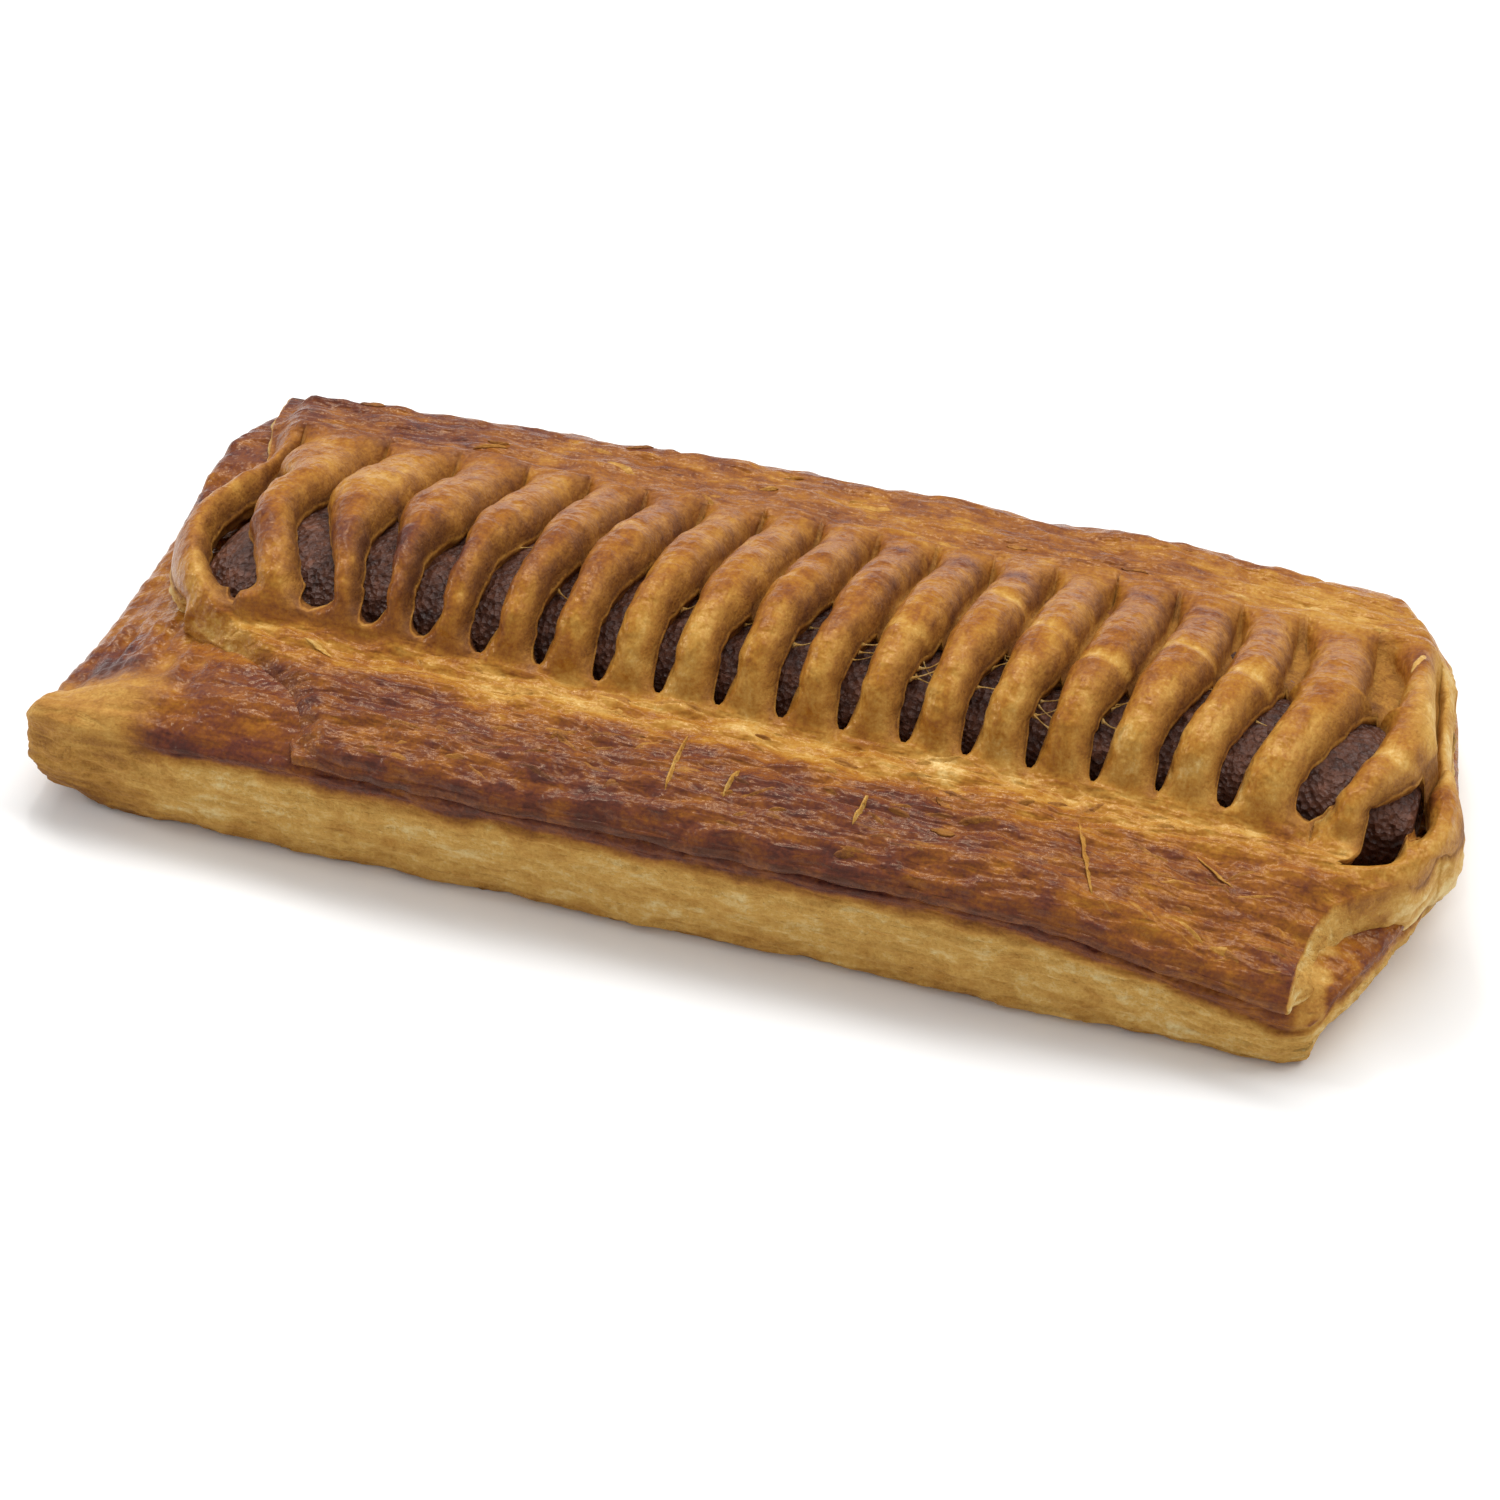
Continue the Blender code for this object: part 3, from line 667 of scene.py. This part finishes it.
def strip_edges(strip, y):
    """A strip's left and right edges at these distances from the front."""
    lattice = ease(-23, -18.5, y) * (1.0 - ease(6, 16, y))
    if strip == 0:
        left_end = through(LID_LEFT_EDGE, y)
        inner = slit_x(1, y) - slit_half_width(1, y)
        return left_end, mix(inner, left_end + LEFT_LOOP_WIDTH, lattice)
    right_end = through(LID_RIGHT_EDGE, y)
    if strip == SLITS:
        beside = strip_edges(SLITS - 1, y)[1] + LEAST_SLIT
        inner = slit_x(SLITS, y) + slit_half_width(SLITS, y)
        inner = mix(inner, right_end - RIGHT_LOOP_WIDTH, lattice)
        return np.maximum(inner, beside), right_end
    left = slit_x(strip, y) + slit_half_width(strip, y)
    right = slit_x(strip + 1, y) - slit_half_width(strip + 1, y)
    if strip == 1:
        left = mix(left, right - STRIP_WIDTH, lattice)
    if strip == SLITS - 1:
        right = mix(right, left + LAST_STRIP_WIDTH * mix(0.62, 1.0, ease(-19, -8, y)), lattice)
        right = np.minimum(right, right_end - RIGHT_LOOP_THINNEST - LEAST_SLIT)
    return left, right


# Rows lie evenly along the section, whose places count its points.
fine = np.linspace(0, len(LID_SECTION) - 1, 2001)
section_y, section_z = (
    through(list(enumerate(values)), fine) for values in zip(*LID_SECTION))
run = np.concatenate([[0], np.cumsum(np.hypot(np.diff(section_y), np.diff(section_z)))])
row_place = np.interp(np.linspace(0, run[-1], LID_ROWS + 1), run, fine)
row_y, row_z = np.interp(row_place, fine, section_y), np.interp(row_place, fine, section_z)
row_run = np.linspace(0, run[-1], LID_ROWS + 1)
tangent = np.stack((np.gradient(row_y), np.gradient(row_z)))
tangent /= np.hypot(*tangent)
# Edges of every strip at every row, and the rows between which each slit is open.
edges = np.array([strip_edges(strip, row_y) for strip in range(SLITS + 1)])
open_rows = []
for slit in range(1, SLITS + 1):
    shift = fading(LEFT_FOOT_SHIFT, slit - 1) + fading(RIGHT_FOOT_SHIFT, SLITS - slit)
    first = FOOT_PLACE + (LAST_FOOT_SHIFT if slit == SLITS else shift)
    is_open = (row_place >= first) & (row_y <= slit_end_y(slit))
    open_rows.append((np.flatnonzero(is_open)[0], np.flatnonzero(is_open)[-1]))
open_rows = np.array(open_rows)
# An open slit starts in a point, where the dough held.
for slit, (first, last) in enumerate(open_rows):
    left, right = edges[slit, 1], edges[slit + 1, 0]
    middle, half = (left + right) / 2, (right - left) / 2
    from_foot = np.clip((row_run - row_run[first]) / dict(FOOT_TAPERS).get(slit + 1, 4.5), 0.0, 1.0)
    half *= mix(0.25, 1.0, np.sqrt(1.0 - (1.0 - from_foot) ** 2))
    # The cuts waver, and no two sides tore alike.
    middle += 0.22 * uneven(0.0 * row_run, row_run, 0.0 * row_run + slit, (1.0, 3.5, 0.37), 27)
    half *= 1.0 + 0.13 * uneven(0.0 * row_run, row_run, 0.0 * row_run + slit, (1.0, 2.6, 0.37), 28)
    # The two with wide grooves end round.
    if slit + 1 in WIDE_GROOVES:
        from_back = np.clip(np.abs(row_run - row_run[last]) / 3.0, 0.0, 1.0)
        half *= mix(0.3, 1.0, np.sqrt(1.0 - (1.0 - from_back) ** 2))
    # Where strips merge behind, the groove between them closes.
    half *= 1.0 - 0.6 * ease(15, 24, row_y)
    edges[slit, 1], edges[slit + 1, 0] = middle - half, middle + half
# Behind its slit the right loop lies against the last strip.
from_tip = np.clip((row_run[last] - row_run) / 5.0, 0.0, 1.0) ** 0.5
against = np.minimum(edges[SLITS, 0], edges[SLITS - 1, 1] + 0.9)
edges[SLITS, 0] = mix(against, edges[SLITS, 0], from_tip)

lid_columns = STRIP_COLUMNS * (SLITS + 1) - 2
bm = grid_mesh(lid_columns, LID_ROWS)
cut_out = []
for face in bm.faces:
    middle = face.calc_center_median()
    slit, step = divmod(int(middle.x), STRIP_COLUMNS)
    if step >= STRIP_STEPS and open_rows[slit][0] <= int(middle.y) < open_rows[slit][1]:
        cut_out.append(face)
bmesh.ops.delete(bm, geom=cut_out, context="FACES")
rim = extruded_rim(bm, [edge for edge in bm.edges if edge.is_boundary], WALL_LAYERS)
bmesh.ops.triangle_fill(bm, use_beauty=True, use_dissolve=False, edges=rim, normal=(0, 0, 1))

column, row, layer = codes_of(bm)
strip, step = np.divmod(column, STRIP_COLUMNS)
in_groove = step > STRIP_STEPS
share = np.sin(np.pi * (np.minimum(step, STRIP_STEPS) / STRIP_STEPS - 0.5))
y_s, z_s, run_s = row_y[row], row_z[row], row_run[row]
next_strip = np.minimum(strip + 1, SLITS)
left, right = edges[strip, 0, row], edges[strip, 1, row]
x = mix(left, right, 0.5 + 0.5 * share)
x = np.where(in_groove, (right + edges[next_strip, 0, row]) / 2, x)
strip_number = strip + np.where(in_groove, 0.5, 0.0)
dome = 1.0 - fading(LEFT_DOME_LOSS, strip_number) - fading(RIGHT_DOME_LOSS, SLITS - strip_number)
foot_z = np.minimum(z_s, DOME_FOOT_Z - DOME_FOOT_FALL * ease(-21, 23, y_s))
foot_run = row_run[open_rows[np.clip([strip - 1, strip], 0, SLITS - 1), 0]].mean(0)
groove_end = GROOVE_END_Y + 2.2 * uneven_sheet(0.0 * x, strip_number * 3.7, (1, 1), 9)
lattice = ease(foot_run - 0.6, foot_run + 3.2, run_s)
lattice = lattice * (1.0 - ease(groove_end - 3.5, groove_end, y_s))
on_arch = ease(foot_run - 2.0, foot_run + 2.0, run_s) * (1.0 - ease(18, 24, y_s))
roundness = 1.0 - (1.0 - np.minimum(1.0, np.abs(share)) ** STRIP_SQUARENESS) ** 0.5
roundness = np.where(in_groove, 1.08, roundness)
# A groove is deepest just behind its slit, where the dough is stretched thin. At the right end
# the grooves are shallower there, because those slits end wide.
slit_end = row_y[open_rows[np.minimum(strip, SLITS - 1), 1]]
dip = STRIP_HEIGHT * roundness * lattice
deeper = np.where(strip < SLITS - 3, 1.3, -1.2)
dip = dip + np.where(in_groove, deeper * lattice * ease(slit_end + 7.0, slit_end, y_s), 0.0)

# Relief: each strip is a little thicker or thinner than the next, ringed across where it bends,
# and lined along where it was stretched. Margin and flange are wrinkled along the roll.
relief, flake_edge = crust_relief(x, y_s, 71)
bumps = LID_BUMPS * uneven_sheet(x, y_s, (9, 7), 5) * (1.0 - 0.5 * lattice)
bumps += relief * mix(1.9, 0.35, on_arch)
bumps += 0.22 * uneven_sheet(x, y_s, (2.4, 1.5), 50) * (1.0 - on_arch)
rings = uneven_sheet(x, run_s, (4.5, 1.1), 16) * ease(-17, -12, y_s) * ease(8, -2, y_s)
stretch = uneven_sheet(x, run_s, (0.8, 6.0), 17) * on_arch
knots = uneven_sheet(x, run_s, (3.0, 3.2), 15)
bumps += (0.09 * rings + 0.12 * stretch + 0.30 * knots) * mix(0.5, 1.0, on_arch)
crease = sum(
    (strip == number) * np.exp(-((y_s - place + 0.5 * np.sin(3.0 * share)) / 1.2) ** 2)
    for number, place in CREASES)
bumps -= 0.35 * crease
normal_y, normal_z = -tangent[1, row], tangent[0, row]
y = y_s + back_bow(x, y_s) + normal_y * (bumps - dip)
z = mix(foot_z, z_s, dome) + normal_z * (bumps - dip)
sunk = JOIN_Z - join_height(x, 0.0 * x)
z -= sunk * mix(0.15, 1.0, ease(-20, -34, y_s))
right_fall = 1.4 * ease(-38, -30, y_s) + RIGHT_BACK_FALL * ease(-4, 5, y_s)
fall = np.where(x > 0, right_fall, END_FALL)
from_end = np.minimum(x - edges[0, 0, row], edges[SLITS, 1, row] - x)
z -= fall * (1.0 - ease(-1, 4.5, from_end))
lowest = join_height(x, y) + MIN_LID
z = np.maximum(z, lowest)
# Its front left corner lies drawn back a little on the base.
y = y + 1.1 * ease(-42, -49, x) * ease(-34, -37.6, y_s)

x_top, y_top, z_top = (of_top(column, row, layer, values) for values in (x, y, z))
# Walls hang from the rims: round the outside down to the base sheet, and in the slits to the meat.
at_edge = (column == 0) | (column == lid_columns) | (row == 0) | (row == LID_ROWS)
face_x, face_y, round_rim = rim_facing(column, row, layer, x, y)
hung = layer / WALL_LAYERS
cut_end = ease(0.35, 0.75, np.abs(face_x)) * (1.0 - ease(-12, -20, y) * ease(0, -30, x))
skirt_in = np.interp(hung, WALL_PLACES, SKIRT_IN)
skirt_down = np.interp(hung, WALL_PLACES, SKIRT_DOWN)
skirt_in = skirt_in - 0.3 * uneven_sheet(round_rim, layer, (3.0, 1.2), 51)
# The cut ends show their layers and crumble, and the right front one slopes out onto the ledge.
layered = uneven_sheet(round_rim, layer, (5.0, 0.7), 53)
layered = layered + 0.6 * uneven_sheet(round_rim, layer, (1.3, 0.9), 54)
skirt_in = skirt_in + 0.55 * layered * cut_end
slope = cut_end * ease(0, 40, x) * ease(-21, -26, y) * ease(-37.6, -34.0, y)
skirt_in = skirt_in - (3.4 * hung ** 1.2 + 1.1 * layered) * slope
slit = np.where(step >= STRIP_STEPS, strip, np.maximum(strip - 1, 0))
slit = np.minimum(slit, SLITS - 1)
first, last = open_rows[slit].T
middle_x = (edges[slit, 1, row] + edges[slit + 1, 0, row]) / 2
away_x = np.clip((x - middle_x) / 0.6, -1.0, 1.0)
away_run = (2.0 * (row - first) / np.maximum(1, last - first) - 1.0)
away_run = np.sign(away_run) * np.abs(away_run) ** 14
length_in = np.maximum(0.3, np.hypot(away_x, away_run))
under_by = np.interp(hung, WALL_PLACES, WALL_IN)
down_by = np.interp(hung, WALL_PLACES, WALL_DOWN)
is_skirt = at_edge & (layer > 0)
is_wall = ~at_edge & (layer > 0)
x = x - np.where(is_skirt, face_x * skirt_in, 0.0)
y = y - np.where(is_skirt, face_y * skirt_in, 0.0)
z = np.where(is_skirt, mix(z, join_height(x, y), skirt_down), z)
x = x + np.where(is_wall, under_by * away_x / length_in, 0.0)
back_under = under_by * away_run / length_in
y = y + np.where(is_wall, back_under * tangent[0, row] - normal_y * down_by, 0.0)
z = z + np.where(is_wall, back_under * tangent[1, row] - normal_z * down_by, 0.0)

# Baking: the strips brown most where they bend. Their right flanks, their creases and the dough
# stretched between them are bare, paler dough, but painted shade darkens the right flanks and the
# stretched dough. The margin browns towards the seam.
per_strip = uneven_sheet(0.0 * x, strip * 5.3 + 0.4, (1, 1), 18)
knee = np.exp(-((y_s + 8.5 + 3.0 * per_strip) / 4.5) ** 2)
on_strip = 0.44 + 0.12 * per_strip + 0.12 * knee * ease(0.7, -0.6, share)
on_strip += 0.03 * ease(-11, -15, y_s) + 0.07 * ease(-10, 0, y_s)
on_strip += 0.17 * ease(-25, -45, x) * ease(-4, -11, y_s) * (strip > 1)
# The strips' fronts are painted lighter, a painted light where they face the front.
on_strip -= 0.13 * ease(-8, -14, y_s)
on_strip += 0.14 * uneven_sheet(x, run_s, (3.5, 4.0), 19) + 0.02 * rings
on_strip += 0.18 * ease(-10, -50, x) * ease(4, -10, y_s) - 0.05 * ease(10, 45, x) * ease(0, -8, y_s)
# The creases are paler, and so are the strips' left edges: partly their pale cut rims, partly a
# painted highlight.
on_strip -= 0.30 * crease + 0.10 * ease(-0.8, -1.0, share)
# Their right flanks are dull, and a painted shade darkens them down to a thin pale edge; some end
# in a brown spot.
on_strip += 0.24 * ease(0.45, 0.9, share)
spots = np.exp(-((y_s - groove_end + 6.0) / 1.8) ** 2 - (share / 0.7) ** 2)
on_strip += 0.25 * spots * ease(-0.1, 0.3, per_strip) * ease(-20, 20, x)
on_strip -= 0.22 * spot(x, y_s, (76.0, 9.0), (4.0, 5.0))
on_sheet = browning(x, y_s) - 0.07 * flake_edge
on_strip -= 0.16 * (strip == 0) * ease(12, 2, y_s)
# A painted highlight: a soft paler spot on the crust below the left loop.
on_sheet -= 0.2 * spot(x, y_s, (-63.0, -20.5), (5.0, 1.8))
# A pale wavy band runs under the strips' feet, with paler patches in it.
wavy_y = y_s + 3.5 * uneven_sheet(x, y_s, (6.0, 3.0), 49)
under_feet = ease(-27.5, -21.5, wavy_y) * ease(-17, -20, y_s)
patches = ease(0.05, 0.4, uneven_sheet(x, y_s, (5.0, 1.6), 44))
on_sheet -= under_feet * (0.07 + 0.09 * ease(-45, -15, x) + 0.16 * patches)
bake = mix(on_sheet, on_strip, on_arch)
# Behind the right loop the lid was torn off, and its pale layers show.
torn = ease(75.5, 78.5, x) * ease(-7, -2, y_s) * ease(28, 24, y_s)
bake = mix(bake, 0.30 + 0.22 * uneven_sheet(x, y_s, (1.2, 5.0), 45), torn)
# A painted shade darkens the dough stretched between the strips behind each slit, most just behind
# the slit; the egg wash is thin there.
in_gap = ease(0.75, 1.05, roundness) * lattice
bake = mix(bake, mix(0.85, 0.6, ease(slit_end + 1.0, slit_end + 9.0, y_s)), in_gap)
glaze = mix(0.95, 0.9 - 0.6 * ease(0.2, 0.9, share), on_arch)
glaze = glaze * (1.0 - 0.8 * in_gap) * (1.0 - 0.8 * torn)
skirt_bake = browning(x, y) + mix(0.02, 0.08, ease(-50, -42, x)) + 0.16 * knots
cut_bake = 0.25 + 0.4 * layered + 0.15 * ease(0.4, 0.0, hung)
skirt_bake = mix(skirt_bake, cut_bake, cut_end)
bake = np.where(is_skirt, skirt_bake, np.where(is_wall, 0.42 + 0.3 * hung + 0.15 * knots, bake))
glaze = np.where(is_skirt, 0.8 - 0.6 * cut_end, np.where(is_wall, 0.5, glaze))
lid_finish = pastry("puff pastry, egg washed", CRUST, FLAKE, (4.5, 1.0, 1.2))
put(bm, x, y, z)
bmesh.ops.recalc_face_normals(bm, faces=bm.faces)
lid = finished(
    "lattice_lid", bm, lid_finish, bake=bake, glaze=np.clip(glaze, 0, 1), arched=on_arch,
    dull=on_arch * ease(-12, -4, y_s) * (layer == 0))
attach(lid, "root")
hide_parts("pastry_lid")

# ---- The lifted flakes -----------------------------------------------------------------------
# Shards of the crust's top layer that came loose in the oven and curled up. They are pale, brittle,
# a fraction of a millimetre thick, and still held along one side.

FLAKE_THICKNESS = 0.16
# The longest: (x, y, length, width, direction in degrees, lift of the free side, browning).
LONG_FLAKES = (
    (-3.9, -28.6, 9.5, 0.32, 92, 0.6, 0.32), (3.3, -30.0, 4.4, 0.3, 80, 0.6, 0.26),
    (19.0, -30.0, 5.0, 0.3, 84, 0.7, 0.22), (45.5, -29.0, 11.0, 0.5, 112, 0.4, 0.38),
    (-15.5, -22.8, 6.0, 0.9, 12, 0.3, 0.3), (-30.0, 26.5, 5.0, 0.8, -20, 0.4, 0.35),
    (2.8, 28.8, 6.0, 0.8, 8, 0.4, 0.38), (60.0, -26.0, 6.0, 0.5, 150, 0.4, 0.36),
    (-52.0, -21.5, 5.0, 0.7, 160, 0.3, 0.3), (75.5, 16.0, 4.0, 0.7, 70, 0.5, 0.2),
)
SHORT_FLAKES = 130
SHARE_ON_MARGIN = 0.75
SHORT_FLAKE_LENGTHS = (1.5, 5.0)
SHORT_FLAKE_WIDTHS = (0.3, 0.7)
SHORT_FLAKE_TURN = 18.0
SHORT_FLAKE_LIFTS = (0.1, 0.4)

all_flakes = list(LONG_FLAKES)
chance = random.Random(12)
for _ in range(SHORT_FLAKES):
    on_margin = chance.random() < SHARE_ON_MARGIN
    shard_x = chance.uniform(-46.0 if on_margin else -70.0, 70.0)
    shard_y = chance.uniform(-36.0, -19.5) if on_margin else chance.uniform(21.0, 35.0)
    around = float(browning(np.array([shard_x]), np.array([shard_y]))[0])
    all_flakes.append((
        shard_x, shard_y, chance.uniform(*SHORT_FLAKE_LENGTHS),
        chance.uniform(*SHORT_FLAKE_WIDTHS), chance.gauss(0.0, SHORT_FLAKE_TURN),
        chance.uniform(*SHORT_FLAKE_LIFTS), around - chance.uniform(0.0, 0.2)))


def surface_height(x, y):
    """Height of the crust at this place, in millimetres."""
    heights = [0.0]
    for crust in (base, lid):
        hit, place, _, _ = crust.ray_cast(Vector((x, y, 60.0)) * MM, Vector((0.0, 0.0, -1.0)))
        if hit:
            heights.append(place.z / MM)
    return max(heights)


bpy.context.view_layer.update()
bm = bmesh.new()
flake_bakes = []
for place_x, place_y, length, width, turn, lift, bake_of_flake in all_flakes:
    turn = math.radians(turn)
    made = bmesh.ops.create_grid(bm, x_segments=8, y_segments=3, size=0.5)["verts"]
    for vert in made:
        along, out = 2.0 * vert.co.x, vert.co.y + 0.5
        slim = math.sqrt(max(0.0, 1.0 - along * along)) + 0.05
        ragged = 0.8 * noise.noise((0.8 * along * length, place_x, place_y))
        u, v = 0.5 * length * along, width * (out - 0.5) * slim * (1.0 + ragged)
        x = place_x + u * math.cos(turn) - v * math.sin(turn)
        y = place_y + u * math.sin(turn) + v * math.cos(turn)
        z = surface_height(x, y) - 0.05 + lift * out ** 1.5 * slim
        vert.co = Vector((x, y, z)) * MM
    flake_bakes += [bake_of_flake] * len(made)
bmesh.ops.recalc_face_normals(bm, faces=bm.faces)
label = bm.verts.layers.float.new("bake")
glaze_label = bm.verts.layers.float.new("glaze")
for vert, value in zip(bm.verts, flake_bakes):
    vert[label], vert[glaze_label] = value, 0.6
bmesh.ops.solidify(bm, geom=bm.faces[:], thickness=FLAKE_THICKNESS * MM)
bmesh.ops.recalc_face_normals(bm, faces=bm.faces)
flakes = finished("lifted_flakes", bm, lid_finish)
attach(flakes, "root")

# ---- The dough threads -----------------------------------------------------------------------
# Threads of dough that the lattice cutter didn't part, drawn out thin across the slits' back ends
# as the lid was stretched.

THREAD_SIDES = 6
THREAD_STEPS = 8
# How many threads cross each slit.
THREADS = (0, 0, 0, 0, 1, 1, 0, 1, 1, 3, 3, 4, 4, 4, 3, 1, 1, 0, 0)
THREAD_RADII = (0.06, 0.16)
# How far below the strips' tops they start, and how far they sag.
THREAD_DROPS = (0.3, 1.6)
THREAD_SAGS = (-0.2, 0.4)

lid_top = np.zeros((lid_columns + 1, LID_ROWS + 1, 3))
lid_top[column, row] = np.stack((x_top, y_top, z_top), 1)
fine_threads = bmesh.new()
for slit, count in enumerate(THREADS):
    first, last = open_rows[slit]
    left_column = slit * STRIP_COLUMNS + STRIP_STEPS
    for _ in range(count):
        at = last - chance.uniform(0.02, 0.5) * (last - first)
        start = lid_top[left_column, int(at)]
        end = lid_top[left_column + 2, int(min(last, max(first, at + chance.uniform(-9.0, 9.0))))]
        drop, sag = chance.uniform(*THREAD_DROPS), chance.uniform(*THREAD_SAGS)
        radius = chance.uniform(*THREAD_RADII)
        bm = grid_mesh(THREAD_STEPS, THREAD_SIDES)
        step, side, _ = codes_of(bm)
        t, angle = step / THREAD_STEPS, 2.0 * np.pi * side / THREAD_SIDES
        thick = radius * (0.6 + 2.4 * (2.0 * t - 1.0) ** 4)
        put(
            bm, mix(start[0], end[0], t) + 0.3 * np.sin(7.0 * t + at) * t * (1.0 - t),
            mix(start[1], end[1], t) + thick * np.cos(angle),
            mix(start[2], end[2], t) - drop - sag * 4.0 * t * (1.0 - t) + thick * np.sin(angle))
        bmesh.ops.remove_doubles(bm, verts=bm.verts, dist=0.001 * MM)
        one = bpy.data.meshes.new("thread")
        bm.to_mesh(one)
        bm.free()
        fine_threads.from_mesh(one)
        bpy.data.meshes.remove(one)
bmesh.ops.holes_fill(fine_threads, edges=fine_threads.edges, sides=0)
bmesh.ops.recalc_face_normals(fine_threads, faces=fine_threads.faces)
count = len(fine_threads.verts)
threads = finished(
    "dough_threads", fine_threads, lid_finish, bake=np.full(count, 0.2), glaze=np.full(count, 0.2),
    arched=np.ones(count))
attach(threads, "root")

# ---- The table and the light -----------------------------------------------------------------
# A plain white sheet under the roll, in a pale room. A long narrow softbox lights it from above
# and a little behind, and two small lights, on the left and behind, make the egg wash glint.

FIBRE_MM = 40.0
FLOOR_HALF_WIDTH = 3.0
# Just under the roll, so that the two never lie in one plane.
FLOOR_Z = -0.05
ROOM_STRENGTH = 0.55

floor_finish, tree, shader, in_mm = new_material("white sheet")
fibres = add(tree, "TexNoise", {"Vector": in_mm, "Scale": 1 / FIBRE_MM, "Detail": 2.0})
floor_colour = add(
    tree, "ValToRGB", {"Fac": fibres.outputs["Fac"]}, stops=((0.0, "#F7F7F6"), (1.0, "#FAFAFA")))
tree.links.new(floor_colour.outputs["Color"], shader.inputs["Base Color"])
shader.inputs["Roughness"].default_value = 0.9
shader.inputs["Specular IOR Level"].default_value = 0.1
bm = bmesh.new()
bmesh.ops.create_grid(bm, x_segments=8, y_segments=8, size=FLOOR_HALF_WIDTH)
bmesh.ops.translate(bm, verts=bm.verts, vec=(0.0, 0.0, FLOOR_Z * MM))
floor = finished("white_table", bm, floor_finish)

room = bpy.data.worlds.new("pale room")
room.use_nodes = True
background = room.node_tree.nodes["Background"]
background.inputs["Color"].default_value = linear("#FFFFFF")
background.inputs["Strength"].default_value = ROOM_STRENGTH
bpy.context.scene.world = room


def soft_light(name, place, length, width, power):
    """A rectangular soft light, aimed at the roll."""
    light = bpy.data.lights.new(name, "AREA")
    light.shape = "RECTANGLE"
    light.size, light.size_y = length, width
    light.energy = power
    lamp = bpy.data.objects.new(name, light)
    bpy.context.scene.collection.objects.link(lamp)
    lamp.location = place
    lamp.rotation_euler = (-lamp.location).to_track_quat("-Z", "Y").to_euler()


soft_light("softbox", Vector((0.12, 0.44, 1.10)), length=2.2, width=0.32, power=15.6)
soft_light("side light", Vector((-1.1, -0.05, 0.5)), length=0.12, width=0.12, power=2.6)
soft_light("back light", Vector((-0.28, 0.61, 1.0)), length=0.12, width=0.12, power=1.5)
